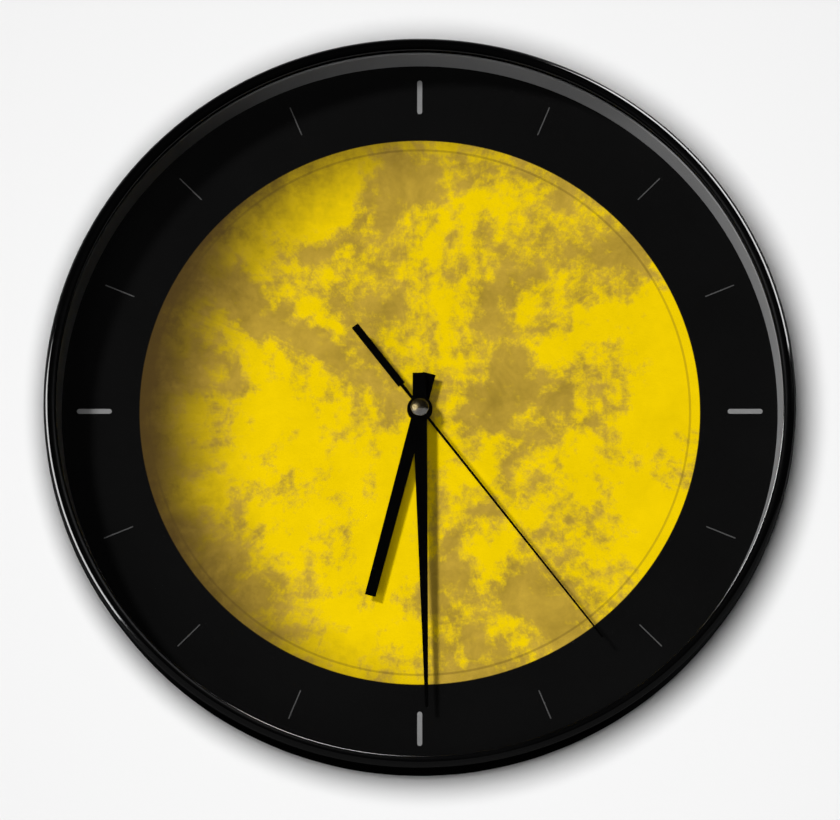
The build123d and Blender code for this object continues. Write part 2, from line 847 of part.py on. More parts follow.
def hour_wheel():
    """Hour wheel and the pipe that carries the hour hand."""
    first = meshed(motion_bearing + 180, hour_teeth, motion_leaves, motion_first())
    top = hour_hand_z + hand_thickness
    body = wheel(hour_teeth, hour_module, hour_wheel_z, first)
    return body + disc(hour_pipe_r, hour_wheel_z, top) - disc(hour_bore_r, hour_wheel_z, top)


def setting_knob():
    """Fluted knob pushed on the stem of the motion wheel."""
    front = movement_back - knob_gap
    points = []
    for step in range(2 * knob_flutes):
        radius = knob_radius - knob_flute_depth * (step % 2)
        points.append(around(motion_axis, radius, step * 180 / knob_flutes))
    knob = Pos(0, 0, front - knob_length) * extrude(make_face(Polyline(*points, close=True)), knob_length)
    return knob - disc(stem_radius + push_fit, front - knob_length / 2 - push_fit, front, motion_axis)


def hand(outline, hub, bottom, pipe_r, clockwise, collet_back):
    """A flat hand with a round hub and a collet behind it that fits its pipe."""
    blade = extrude(make_face(Polyline(*outline, close=True)) + Circle(hub), hand_thickness)
    solid = Pos(0, 0, bottom) * blade + disc(pipe_r + collet_wall, collet_back, bottom)
    solid -= disc(pipe_r + push_fit, collet_back, bottom + hand_thickness)
    return around_dial(solid, clockwise)


def hour_hand():
    """Broad hour hand with a square tip and a square tail."""
    tail = hour_tail_width / 2
    tip = hour_tip_width / 2
    outline = [(-tail, -hour_tail), (tail, -hour_tail), (tip, hour_length), (-tip, hour_length)]
    return hand(outline, hub_radius, hour_hand_z, hour_pipe_r, hour_angle, bush_front + collet_gap)


def minute_hand():
    """Long tapered minute hand with a square tail."""
    tail = minute_tail_width / 2
    root = minute_root_width / 2
    tip = minute_tip_width / 2
    outline = [(-tail, -minute_tail), (tail, -minute_tail), (root, 0), (tip, minute_length),
               (-tip, minute_length), (-root, 0)]
    collet_back = hour_hand_z + hand_thickness + collet_gap
    return hand(outline, hub_radius, minute_hand_z, minute_pipe_r, minute_angle, collet_back)


def second_hand():
    """Thin second hand with a barred counterweight on its tail."""
    neck = second_neck_width / 2
    weight = second_weight_width / 2
    root = second_root_width / 2
    tip = second_tip_width / 2
    outline = [(-weight, -second_weight_end), (weight, -second_weight_end), (weight, -second_weight_start),
               (neck, -second_weight_start), (root, 0), (tip, second_length), (-tip, second_length),
               (-root, 0), (-neck, -second_weight_start), (-weight, -second_weight_start)]
    collet_back = minute_hand_z + hand_thickness + collet_gap
    return hand(outline, second_hub_radius, second_hand_z, second_arbor_radius, second_angle, collet_back)


def hand_cap():
    """Domed cap over the hub of the second hand."""
    dome = dome_arc(cap_radius, cap_edge, cap_height - cap_edge)
    foot = Polyline((0, cap_height), (0, 0), (cap_radius, 0), (cap_radius, cap_edge))
    return Pos(0, 0, cap_z) * turned(dome + foot)


pieces = {
    "case_rim": case_rim(),
    "lens": lens(),
    "spacer_ring": spacer_ring(),
    "dial_print": dial_print(),
    "quarter_batons": dial_marks(True),
    "tick_marks": dial_marks(False),
    "back_plate": back_plate(),
    "hanger_bracket": hanger_bracket(),
    "hanger_screws": hanger_screws(),
    "movement_base": movement_base(),
    "mid_plate": mid_plate(),
    "movement_cover": movement_cover(),
    "battery": battery(),
    "contact_positive": contact_positive(),
    "contact_negative": contact_negative(),
    "circuit_board": circuit_board(),
    "chip_blob": chip_blob(),
    "quartz_crystal": quartz_crystal(),
    "stator": stator(),
    "coil_core": coil_core(),
    "coil_bobbin": coil_bobbin(),
    "coil_winding": coil_winding(),
    "motor_screws": motor_screws(),
    "rotor_magnet": rotor_magnet(),
    "rotor_pinion": rotor_pinion(),
    "intermediate_wheel": intermediate_wheel(),
    "second_arbor": second_arbor(),
    "seconds_wheel": seconds_wheel(),
    "third_wheel": third_wheel(),
    "centre_wheel": centre_wheel(),
    "minute_pipe": minute_pipe(),
    "motion_wheel": motion_wheel(),
    "hour_wheel": hour_wheel(),
    "setting_knob": setting_knob(),
    "hour_hand": hour_hand(),
    "minute_hand": minute_hand(),
    "second_hand": second_hand(),
    "hand_cap": hand_cap(),
}

os.makedirs("parts", exist_ok=True)
for name, piece in pieces.items():
    export_step(Plane.XZ.location * piece, f"parts/{name}.step")
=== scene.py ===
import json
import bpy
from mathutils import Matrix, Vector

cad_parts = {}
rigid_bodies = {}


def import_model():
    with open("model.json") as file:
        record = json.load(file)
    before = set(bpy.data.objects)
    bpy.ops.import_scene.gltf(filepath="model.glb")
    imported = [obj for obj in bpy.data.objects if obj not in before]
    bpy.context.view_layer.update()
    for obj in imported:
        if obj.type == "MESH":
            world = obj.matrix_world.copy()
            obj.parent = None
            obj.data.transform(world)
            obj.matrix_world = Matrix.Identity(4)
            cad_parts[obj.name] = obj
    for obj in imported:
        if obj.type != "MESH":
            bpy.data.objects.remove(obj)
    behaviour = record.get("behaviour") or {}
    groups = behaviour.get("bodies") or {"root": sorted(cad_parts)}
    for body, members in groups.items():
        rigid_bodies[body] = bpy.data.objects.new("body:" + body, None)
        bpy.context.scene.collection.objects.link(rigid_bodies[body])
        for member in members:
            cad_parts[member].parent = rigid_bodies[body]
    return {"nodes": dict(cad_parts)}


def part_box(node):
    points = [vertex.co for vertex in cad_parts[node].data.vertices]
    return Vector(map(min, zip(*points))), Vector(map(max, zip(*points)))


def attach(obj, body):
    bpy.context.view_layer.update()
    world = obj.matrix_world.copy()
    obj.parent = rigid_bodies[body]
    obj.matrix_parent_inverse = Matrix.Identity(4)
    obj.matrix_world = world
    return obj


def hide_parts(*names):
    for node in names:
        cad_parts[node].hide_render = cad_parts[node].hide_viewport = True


bl_info = {
    "name": "Wall clock looks",
    "version": (1, 0, 0),
    "blender": (4, 5, 0),
    "location": "3D View > Sidebar > Clock",
    "description": "Dresses the packed solids of a round wall clock and sets its stage",
    "category": "Object",
}

from math import asin, atan2, cos, hypot, isclose, pi, radians, sin, sqrt, tan

import bmesh
import bpy
from mathutils import Matrix, Vector

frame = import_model()

# The drawing frame looks at the dial: x to the right, y up, z from the wall towards the viewer.
# Meshes are drawn there in metres and stood upright when they become pieces.
MM = 0.001
UPRIGHT = Matrix(((1, 0, 0, 0), (0, 0, -1, 0), (0, 1, 0, 0), (0, 0, 0, 1)))
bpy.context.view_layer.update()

# Limits of the mesh work: lengths that count as nothing, and angles between faces
HAIR = 0.0001 * MM
WELD = 0.001 * MM
FLAT = radians(1)
SHARP = radians(28)
CREASE = radians(40)
# Two roundings that meet keep this share of their radius, so that a sliver stays between them
NEARLY = 0.999

# Values that several finishes share: white light, and where most of a noise lies
WHITE = (1.0, 1.0, 1.0, 1.0)
USUAL = (0.3, 0.7)

# Where the lamps stand, as directions from the middle of the dial's front
MIDDLE = Vector((0, -0.03, 0))
HIGH_LEFT = (-0.59, -0.70, 0.41)
LOW_LEFT = (-0.60, -0.65, -0.47)
FAR_LEFT = (-0.75, -0.55, -0.36)
FACING_CAP = (-0.634, -0.761, 0.132)
BESIDE_CAMERA = (0.0, -0.97, -0.24)
BEFORE_WALL = (-0.077, -1.404, -0.192)
RIGHT_SIDE = (0.80, 0.15, 0.55)
BEHIND = (-0.45, 0.75, 0.50)


def heights(node):
    """Rear and front height of a node above the wall."""
    low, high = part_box(node)
    return -high.y, -low.y


def right_reach(node):
    """How far a node reaches to the right of the hand axis."""
    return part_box(node)[1].x


def length_prop(name, text, default):
    """A length that the user may change."""
    return bpy.props.FloatProperty(name=name, description=text, default=default, min=0.0,
                                   subtype="DISTANCE", unit="LENGTH", precision=5)


def angle_prop(name, text, default):
    """An angle that the user may change, given in degrees here."""
    return bpy.props.FloatProperty(name=name, description=text, default=radians(default),
                                   subtype="ANGLE", unit="ROTATION")


def factor_prop(name, text, default):
    """A share between nothing and all."""
    return bpy.props.FloatProperty(name=name, description=text, default=default, min=0.0, max=1.0,
                                   subtype="FACTOR")


def power_prop(name, text, default):
    """The strength of a lamp."""
    return bpy.props.FloatProperty(name=name, description=text, default=default, min=0.0, subtype="POWER")


def count_prop(name, text, default):
    """A whole number of like things."""
    return bpy.props.IntProperty(name=name, description=text, default=default, min=1, subtype="UNSIGNED")


def colour_prop(name, text, default):
    """A colour in linear light."""
    return bpy.props.FloatVectorProperty(name=name, description=text, default=default, size=3,
                                         min=0.0, max=1.0, subtype="COLOR")


class ClockRing(bpy.types.PropertyGroup):
    """Sizes and finish of the case ring and the sloping ring inside it."""

    bead_radius: length_prop("Bead radius", "Rounding of the bead's outer shoulder", 2.6 * MM)
    brow_radius: length_prop("Brow radius", "Rounding of the bead's inner shoulder", 2.2 * MM)
    band: length_prop("Band", "Height of the straight band round the bead", 5.0 * MM)
    overhang: length_prop("Overhang", "How far the bead stands out over the skirt", 1.6 * MM)
    flare: length_prop("Flare", "Height of the flare between skirt and bead", 3.0 * MM)
    flare_edge: length_prop("Flare edge", "Rounding at both ends of the flare", 1.2 * MM)
    skirt_edge: length_prop("Skirt edge", "Thickness of the skirt at its rear edge", 1.2 * MM)
    glass_play: length_prop("Glass play", "Gap round the glass in its pocket", 0.3 * MM)
    plate_wall: length_prop("Plate wall", "Thickness of the back plate that the lugs hold", 2.25 * MM)
    lug_width: length_prop("Lug width", "Length of each snap lug round the ring", 14.0 * MM)
    lug_reach: length_prop("Lug reach", "How far each snap lug stands in from the wall", 1.5 * MM)
    lug_ramp: length_prop("Lug ramp", "Height of each snap lug", 3.0 * MM)
    lug_root: length_prop("Lug root", "How deep each snap lug is rooted in the wall", 0.1 * MM)
    lug_play: length_prop("Lug play", "Gap between the lugs and the back plate", 0.1 * MM)
    lug_count: count_prop("Lugs", "Snap lugs round the ring", 8)
    thread: length_prop("Thread", "Radius of the fine thread at the foot of the brow", 0.45 * MM)
    edge: length_prop("Edge", "Rounding of the small corners", 0.3 * MM)
    gloss: colour_prop("Gloss black", "Colour of the case ring", (0.0014, 0.0014, 0.0015))
    matt: colour_prop("Matt black", "Colour of the case ring's side and skirt", (0.018, 0.018, 0.0185))
    satin: colour_prop("Satin black", "Colour of the sloping ring", (0.21, 0.21, 0.212))
    slope_foot: length_prop("Slope foot", "Radius of the sloping ring at the dial", 143.1 * MM)
    slope_wall: length_prop("Slope wall", "Thickness of the sloping ring under the glass", 1.2 * MM)


class ClockDial(bpy.types.PropertyGroup):
    """The printed dial and its applied marks."""

    disc: length_prop("Disc", "Radius of the gold disc of the print", 112.0 * MM)
    hole: length_prop("Hole", "Radius of the hole for the hands", 4.05 * MM)
    edge: length_prop("Edge", "Rounding of the paper and the marks", 0.04 * MM)
    rays: count_prop("Rays", "Rays of the print, one to each mark", 16)
    ground: colour_prop("Ground", "Black ground of the print", (0.0043, 0.0043, 0.0043))
    gold: colour_prop("Gold", "Bright gold of the print", (0.90, 0.63, 0.001))
    tan: colour_prop("Tan", "Clouded parts of the gold", (0.47, 0.31, 0.036))
    shade: colour_prop("Shade", "Brown that the gold fades to at its rim", (0.075, 0.045, 0.012))
    baton_length: length_prop("Baton length", "Length of the four wide marks", 14.0 * MM)
    baton_width: length_prop("Baton width", "Width of the four wide marks", 2.0 * MM)
    baton_end: length_prop("Baton end", "Radius where the wide marks end", 137.1 * MM)
    tick_length: length_prop("Tick length", "Length of the thin marks", 12.5 * MM)
    tick_width: length_prop("Tick width", "Width of the thin marks", 0.45 * MM)
    tick_end: length_prop("Tick end", "Radius where the thin marks end", 136.3 * MM)
    baton_grey: colour_prop("Baton grey", "Colour of the wide marks", (0.228, 0.228, 0.228))
    tick_grey: colour_prop("Tick grey", "Colour of the thin marks", (0.075, 0.075, 0.075))


class ClockHands(bpy.types.PropertyGroup):
    """The three hands and their cap, set to the time that the dial shows."""

    sheet: length_prop("Sheet", "Thickness of the hands", 0.5 * MM)
    edge: length_prop("Edge", "Rounding of the hands' edges", 0.1 * MM)
    hub: length_prop("Hub", "Radius of the hour and minute hubs", 5.06 * MM)
    collet_wall: length_prop("Collet wall", "Thickness of the collets under the hands", 0.98 * MM)
    collet_seat: factor_prop("Collet seat", "Share of the sheet left in front of a collet", 0.6)
    collet_mouth: length_prop("Collet mouth", "Rounding inside a collet's foot", 0.08 * MM)
    collet_foot: length_prop("Collet foot", "Rounding outside a collet's foot", 0.12 * MM)
    hour_angle: angle_prop("Hour angle", "Clockwise angle of the hour hand", 194.5)
    hour_bore: length_prop("Hour bore", "Radius of the hour hand's bore", 2.47 * MM)
    hour_length: length_prop("Hour length", "From the axis to the tip", 78.9 * MM)
    hour_tip: length_prop("Hour tip", "Width at the tip", 4.3 * MM)
    hour_tail: length_prop("Hour tail", "From the axis to the tail", 15.3 * MM)
    hour_tail_width: length_prop("Hour tail width", "Width at the tail", 5.2 * MM)
    minute_angle: angle_prop("Minute angle", "Clockwise angle of the minute hand", 178.7)
    minute_bore: length_prop("Minute bore", "Radius of the minute hand's bore", 1.52 * MM)
    minute_length: length_prop("Minute length", "From the axis to the tip", 122.5 * MM)
    minute_tip: length_prop("Minute tip", "Width at the tip", 1.2 * MM)
    minute_root: length_prop("Minute root", "Width at the axis", 5.8 * MM)
    minute_tail: length_prop("Minute tail", "From the axis to the tail", 14.7 * MM)
    minute_tail_width: length_prop("Minute tail width", "Width at the tail", 5.0 * MM)
    second_angle: angle_prop("Second angle", "Clockwise angle of the second hand", 142.3)
    second_bore: length_prop("Second bore", "Radius of the second hand's bore", 0.52 * MM)
    second_length: length_prop("Second length", "From the axis to the tip", 119.0 * MM)
    second_tip: length_prop("Second tip", "Width at the tip", 0.7 * MM)
    second_root: length_prop("Second root", "Width at the axis", 1.0 * MM)
    second_hub: length_prop("Second hub", "Radius of the second hand's hub", 2.8 * MM)
    second_neck: length_prop("Second neck", "Width of the neck behind the hub", 1.4 * MM)
    weight_start: length_prop("Weight start", "Near end of the counterweight", 11.8 * MM)
    weight_end: length_prop("Weight end", "Far end of the counterweight", 42.5 * MM)
    weight_width: length_prop("Weight width", "Width of the counterweight", 3.1 * MM)
    cap_edge: length_prop("Cap edge", "Height of the cap's upright side", 0.6 * MM)
    cap_foot: length_prop("Cap foot", "Rounding at the cap's foot", 0.1 * MM)
    cap_shoulder: length_prop("Cap shoulder", "Rounding between the cap's side and dome", 0.25 * MM)
    black: colour_prop("Hand black", "Colour of the hands", (0.0009, 0.0009, 0.0009))
    steel: colour_prop("Cap steel", "Colour of the cap", (0.13, 0.128, 0.125))


class ClockBack(bpy.types.PropertyGroup):
    """Edges, fasteners and finishes of what lies behind the dial."""

    plate_edge: length_prop("Plate edge", "Rounding of the back plate's edges", 0.3 * MM)
    strap_edge: length_prop("Strap edge", "Rounding of the hanger's edges", 0.14 * MM)
    housing_edge: length_prop("Housing edge", "Rounding of the housing and the knob", 0.2 * MM)
    leaf_edge: length_prop("Leaf edge", "Rounding of the leaf contacts", 0.06 * MM)
    strap_shank: length_prop("Strap shank", "Radius of the hanger screws", 1.4 * MM)
    strap_head: length_prop("Strap head", "Height of the hanger screws' heads", 1.6 * MM)
    strap_recess: length_prop("Strap recess", "Span of the cross in the hanger screws", 3.0 * MM)
    core_shank: length_prop("Core shank", "Radius of the motor's screws", 0.7 * MM)
    core_head: length_prop("Core head", "Height of the motor's screw heads", 0.8 * MM)
    core_recess: length_prop("Core recess", "Span of the cross in the motor's screws", 1.5 * MM)
    cell_nub: length_prop("Cell nub", "Radius of the cell's plus end", 2.7 * MM)
    cell_nub_rise: length_prop("Cell nub rise", "How far the cell's plus end stands out", 1.3 * MM)
    plate: colour_prop("Back plate", "Moulded black of the back plate", (0.024, 0.024, 0.026))
    housing: colour_prop("Housing", "Moulded black of the movement", (0.036, 0.036, 0.038))
    bracket: colour_prop("Bracket", "Steel of the hanger", (0.60, 0.60, 0.62))
    screws: colour_prop("Screws", "Steel of the screws", (0.55, 0.55, 0.57))
    jacket: colour_prop("Cell jacket", "Sleeve of the cell", (0.045, 0.075, 0.13))
    stripe: colour_prop("Cell stripe", "Pale band on the cell's sleeve", (0.58, 0.60, 0.62))
    can: colour_prop("Cell can", "Bare steel at the cell's ends", (0.58, 0.58, 0.57))
    nickel: colour_prop("Nickel", "Plating of the leaf contacts", (0.62, 0.60, 0.56))
    knob: colour_prop("Knob", "Moulded red of the setting knob", (0.55, 0.06, 0.04))
    gears: colour_prop("Gears", "Moulded white of the wheels", (0.82, 0.82, 0.79))
    brass: colour_prop("Brass", "Turned brass of the pipes", (0.72, 0.52, 0.22))
    iron: colour_prop("Iron", "Soft iron of the motor", (0.45, 0.45, 0.46))
    crystal: colour_prop("Crystal can", "Tinned can of the crystal", (0.65, 0.65, 0.66))
    copper: colour_prop("Copper", "Enamelled wire of the coil", (0.65, 0.25, 0.10))
    magnet: colour_prop("Magnet", "Sintered rotor magnet", (0.12, 0.12, 0.13))
    potting: colour_prop("Potting", "Black resin over the chip", (0.02, 0.02, 0.02))


class ClockStage(bpy.types.PropertyGroup):
    """Camera, wall, floor and lamps."""

    elevation: angle_prop("Elevation", "Height of the camera above the horizon", -14.05)
    azimuth: angle_prop("Azimuth", "Bearing of the camera to the right of the dial", 0.0)
    distance: length_prop("Distance", "From the camera to the point it looks at", 5.5905)
    target: bpy.props.FloatVectorProperty(name="Target", description="The point that the camera looks at",
                                          default=(0.0001, -0.033, -0.0011), size=3, subtype="TRANSLATION",
                                          unit="LENGTH", precision=5)
    lens: bpy.props.FloatProperty(name="Lens", description="Focal length", default=600.0, min=1.0,
                                  subtype="DISTANCE_CAMERA", unit="CAMERA")
    sensor: bpy.props.FloatProperty(name="Sensor", description="Width of the picture plane", default=36.0,
                                    min=1.0, subtype="DISTANCE_CAMERA", unit="CAMERA")
    sight: length_prop("Sight", "How far the camera sees", 200.0)
    drop: length_prop("Drop", "From the hand axis down to the floor", 1.9)
    wall_reach: length_prop("Wall reach", "How far the wall goes up and to each side", 4.0)
    floor_reach: length_prop("Floor reach", "How far the floor goes to each side", 40.0)
    wall: colour_prop("Wall", "Paint of the wall", (0.80, 0.80, 0.80))
    floor: colour_prop("Floor", "Paint of the floor", (0.80, 0.80, 0.80))
    key: power_prop("Key", "Lamp high on the left", 2.7)
    fill: power_prop("Fill", "Lamp low on the left", 6.3)
    front: power_prop("Front", "Lamp beside the camera", 14.0)
    wash: power_prop("Wash", "Lamp that lights the wall alone", 27.4)
    rear: power_prop("Rear", "Lamp behind the clock", 3.3)
    side: power_prop("Side", "Lamp that grazes the case ring from the right", 2.5)
    cards: power_prop("Cards", "Long lamps that only the gloss of the case ring and its thread show", 170.0)
    slope: power_prop("Slope", "Lamp low on the left for the sloping ring alone", 12.0)
    glint: power_prop("Glint", "Warm lamp that only the cap shows", 60.0)
    glint_colour: colour_prop("Glint colour", "Colour of the cap's warm lamp", (1.0, 0.80, 0.38))
    ambient: factor_prop("Ambient", "Light from all round", 0.02)
    pale: factor_prop("Pale", "Light of the surround and the far wall where they are looked at", 0.9)
    lift: factor_prop("Lift", "Light added to the floor where it is looked at", 0.6)


GROUPS = {"clock_ring": ClockRing, "clock_dial": ClockDial, "clock_hands": ClockHands,
          "clock_back": ClockBack, "clock_stage": ClockStage}


# Sections and outlines

def bend(corner, before, after, radius, steps):
    """Points of the arc that rounds one corner of an outline."""
    here, back, on = Vector(corner), Vector(before), Vector(after)
    to_back, to_on = (back - here).normalized(), (on - here).normalized()
    half = to_back.angle(to_on) / 2
    middle = here + (to_back + to_on).normalized() * radius / sin(half)
    start = here + to_back * radius / tan(half) - middle
    end = here + to_on * radius / tan(half) - middle
    first = atan2(start.y, start.x)
    sweep = (atan2(end.y, end.x) - first + pi) % (2 * pi) - pi
    turns = (first + sweep * step / steps for step in range(steps + 1))
    return [(middle.x + radius * cos(turn), middle.y + radius * sin(turn)) for turn in turns]


def eased(corners, steps):
    """A closed outline from (x, y, rounding) corners."""
    points = []
    for index, (x, y, radius) in enumerate(corners):
        before, after = corners[index - 1], corners[(index + 1) % len(corners)]
        if radius:
            points += bend((x, y), before[:2], after[:2], radius, steps)
        else:
            points.append((x, y))
    return points


def circle(radius, at=(0.0, 0.0), steps=96):
    """A round outline."""
    turns = (2 * pi * step / steps for step in range(steps))
    return [(at[0] + radius * cos(turn), at[1] + radius * sin(turn)) for turn in turns]


def slot(length, width, steps=10):
    """A bar with round ends, lying along y about the origin."""
    half, radius = length / 2, width / 2
    turns = (pi * step / steps for step in range(steps + 1))
    top = [(radius * cos(turn), half - radius + radius * sin(turn)) for turn in turns]
    return top + [(-x, -y) for x, y in top]


def bar(length, width):
    """A bar with square ends, lying along y about the origin."""
    x, y = width / 2, length / 2
    return [(-x, -y), (x, -y), (x, y), (-x, y)]


def domed(radius, rise, steps=16):
    """Section of a shallow dome above its rim, from the rim to the crown."""
    sphere = (radius ** 2 + rise ** 2) / (2 * rise)
    leans = [asin(radius / sphere) * (1 - step / steps) for step in range(steps + 1)]
    return [(sphere * sin(lean), rise - sphere + sphere * cos(lean)) for lean in leans]


# Meshes

def turned(section, steps=256, first=0.0, arc=2 * pi, closed=True):
    """Turn a section of (radius, height) points about the hand axis."""
    whole = isclose(arc, 2 * pi)
    columns = steps if whole else steps + 1
    mesh = bmesh.new()
    rings = []
    for radius, height in section:
        if radius < HAIR:
            rings.append([mesh.verts.new((0, 0, height))])
            continue
        turns = (first + arc * column / steps for column in range(columns))
        rings.append([mesh.verts.new((radius * sin(turn), radius * cos(turn), height)) for turn in turns])
    following = rings[1:] + rings[:1] if closed else rings[1:]
    for low, high in zip(rings, following):
        for column in range(steps):
            after = (column + 1) % columns
            corners = [low[column % len(low)], low[after % len(low)], high[after % len(high)],
                       high[column % len(high)]]
            corners = list(dict.fromkeys(corners))
            if len(corners) > 2:
                mesh.faces.new(corners)
    if not whole:
        mesh.faces.new([ring[0] for ring in rings])
        mesh.faces.new([ring[-1] for ring in rings])
    bmesh.ops.recalc_face_normals(mesh, faces=mesh.faces)
    return mesh


def sheet(loops, low, high, edge):
    """A flat plate between two heights with eased edges, from an outline and its holes."""
    # The outline is drawn in millimetres, because the curve's fill is too coarse in metres
    curve = bpy.data.curves.new("outline", "CURVE")
    curve.dimensions = "2D"
    curve.fill_mode = "BOTH"
    curve.extrude = ((high - low) / 2 - edge) / MM
    curve.bevel_depth = edge / MM
    curve.bevel_resolution = 2
    curve.offset = -edge / MM
    for loop in loops:
        spline = curve.splines.new("POLY")
        spline.points.add(len(loop) - 1)
        for point, (x, y) in zip(spline.points, loop):
            point.co = (x / MM, y / MM, 0, 1)
        spline.use_cyclic_u = True
    holder = bpy.data.objects.new("outline", curve)
    bpy.context.scene.collection.objects.link(holder)
    bpy.context.view_layer.update()
    drawn = bpy.data.meshes.new_from_object(holder)
    mesh = bmesh.new()
    mesh.from_mesh(drawn)
    bpy.data.objects.remove(holder)
    bpy.data.curves.remove(curve)
    bpy.data.meshes.remove(drawn)
    bmesh.ops.remove_doubles(mesh, verts=mesh.verts, dist=HAIR / MM)
    bmesh.ops.scale(mesh, vec=(MM, MM, MM), verts=mesh.verts)
    moved(mesh, z=(low + high) / 2)
    bmesh.ops.recalc_face_normals(mesh, faces=mesh.faces)
    return mesh


def spun(mesh, clockwise):
    """Turn a mesh that points to twelve by a clockwise angle."""
    bmesh.ops.rotate(mesh, cent=(0, 0, 0), matrix=Matrix.Rotation(-clockwise, 3, "Z"), verts=mesh.verts)
    return mesh


def moved(mesh, x=0.0, y=0.0, z=0.0):
    """Shift a mesh."""
    bmesh.ops.translate(mesh, vec=(x, y, z), verts=mesh.verts)
    return mesh


def joined(*meshes):
    """Several closed meshes as one."""
    whole = bmesh.new()
    for mesh in meshes:
        data = bpy.data.meshes.new("joined")
        mesh.to_mesh(data)
        mesh.free()
        whole.from_mesh(data)
        bpy.data.meshes.remove(data)
    return whole


def rounded_solid(node, edge, steps=2):
    """A node's own solid with its facets joined and its sharp edges rounded."""
    mesh = bmesh.new()
    mesh.from_mesh(frame["nodes"][node].data)
    for name in [layer.name for layer in mesh.loops.layers.uv.values()]:
        mesh.loops.layers.uv.remove(mesh.loops.layers.uv[name])
    bmesh.ops.remove_doubles(mesh, verts=mesh.verts, dist=WELD)
    bmesh.ops.dissolve_limit(mesh, angle_limit=FLAT, verts=mesh.verts, edges=mesh.edges)
    sharp = [line for line in mesh.edges if line.is_manifold and line.calc_face_angle() > SHARP]
    bmesh.ops.bevel(mesh, geom=sharp, offset=edge, offset_type="OFFSET", segments=steps, profile=0.5,
                    affect="EDGES", clamp_overlap=False)
    bmesh.ops.transform(mesh, matrix=UPRIGHT.inverted(), verts=mesh.verts)
    return mesh


def sunk(mesh, tool):
    """A mesh with the shape of a tool cut out of it."""
    holders = []
    for part in (mesh, tool):
        data = bpy.data.meshes.new("cut")
        part.to_mesh(data)
        part.free()
        holders.append(bpy.data.objects.new("cut", data))
        bpy.context.scene.collection.objects.link(holders[-1])
    cut = holders[0].modifiers.new("cut", "BOOLEAN")
    cut.operation = "DIFFERENCE"
    cut.object = holders[1]
    drawn = bpy.data.meshes.new_from_object(holders[0].evaluated_get(bpy.context.evaluated_depsgraph_get()))
    result = bmesh.new()
    result.from_mesh(drawn)
    bpy.data.meshes.remove(drawn)
    for holder in holders:
        bpy.data.meshes.remove(holder.data)
    return result


def piece(name, mesh, finish, body, slot_name, *nodes):
    """Make a mesh a piece of the clock: it rides on a body and stands for its nodes."""
    bmesh.ops.transform(mesh, matrix=UPRIGHT, verts=mesh.verts)
    data = bpy.data.meshes.new(name)
    mesh.to_mesh(data)
    mesh.free()
    if "custom_normal" in data.attributes:
        data.attributes.remove(data.attributes["custom_normal"])
    data.shade_smooth()
    data.set_sharp_from_angle(angle=CREASE)
    made = bpy.data.objects.new(name, data)
    bpy.context.scene.collection.objects.link(made)
    made.modifiers.new("even_shading", "WEIGHTED_NORMAL").keep_sharp = True
    data.materials.append(finish)
    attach(made, body)
    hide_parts(*nodes)
    return made


# Finishes

def new_finish(name, **sockets):
    """A material with its shader, whose even values are set on the shader itself."""
    material = bpy.data.materials.new(name)
    material.use_nodes = True
    shader = material.node_tree.nodes["Principled BSDF"]
    for socket, value in sockets.items():
        shader.inputs[socket.replace("_", " ")].default_value = value
    return material, material.node_tree, shader


def add(tree, kind, inputs=(), **settings):
    """Add a node, with its settings and its inputs as values or links."""
    node = tree.nodes.new("ShaderNode" + kind)
    for key, value in settings.items():
        setattr(node, key, value)
    for key, value in dict(inputs).items():
        if isinstance(value, bpy.types.NodeSocket):
            tree.links.new(value, node.inputs[key])
        else:
            node.inputs[key].default_value = value
    return node


def place_in(tree):
    """Where a point lies on the object."""
    return add(tree, "TexCoord").outputs["Object"]


def noise(tree, where, scale, detail=4.0, roughness=0.55, distortion=0.0):
    """Cloudy values about one half."""
    return add(tree, "TexNoise", {"Vector": where, "Scale": scale, "Detail": detail,
                                  "Roughness": roughness, "Distortion": distortion}).outputs["Fac"]


def ranged(tree, value, before, after, smooth=False):
    """Carry values from one range to another."""
    kind = "SMOOTHSTEP" if smooth else "LINEAR"
    return add(tree, "MapRange", {"Value": value, "From Min": before[0], "From Max": before[1],
                                  "To Min": after[0], "To Max": after[1]},
               interpolation_type=kind).outputs["Result"]


def maths(tree, operation, first, second=0.0):
    """One step of arithmetic."""
    return add(tree, "Math", {0: first, 1: second}, operation=operation).outputs["Value"]


def length_of(tree, vector):
    """How long a vector is."""
    return add(tree, "VectorMath", {0: vector}, operation="LENGTH").outputs["Value"]


def away_from(tree, value, middle):
    """How far a value lies from another, either way."""
    return maths(tree, "ABSOLUTE", maths(tree, "SUBTRACT", value, middle))


def opaque(colour):
    """A property's colour with no see-through."""
    return tuple(colour) + (1.0,)


def blended(tree, share, first, second):
    """Mix two colours."""
    node = add(tree, "Mix", {"Factor": share, "A": first, "B": second}, data_type="RGBA")
    return node.outputs["Result"]


def tinted(tree, colour, tone):
    """A colour made lighter or darker from place to place."""
    scaled = add(tree, "VectorMath", {"Vector": tuple(colour), "Scale": tone}, operation="SCALE")
    return scaled.outputs["Vector"]


def roughened(tree, shader, cloud, rough):
    """Let a surface's gloss follow a noise, between two roughnesses."""
    tree.links.new(ranged(tree, cloud, USUAL, rough), shader.inputs["Roughness"])


def embossed(tree, shader, height, depth, strength):
    """Raise and lower a surface by a height pattern."""
    bump = add(tree, "Bump", {"Height": height, "Strength": strength, "Distance": depth})
    tree.links.new(bump.outputs["Normal"], shader.inputs["Normal"])


def grained(tree, shader, where, scale, depth, strength=0.5):
    """Roughen a surface with fine grain."""
    embossed(tree, shader, noise(tree, where, scale, detail=3.0), depth, strength)


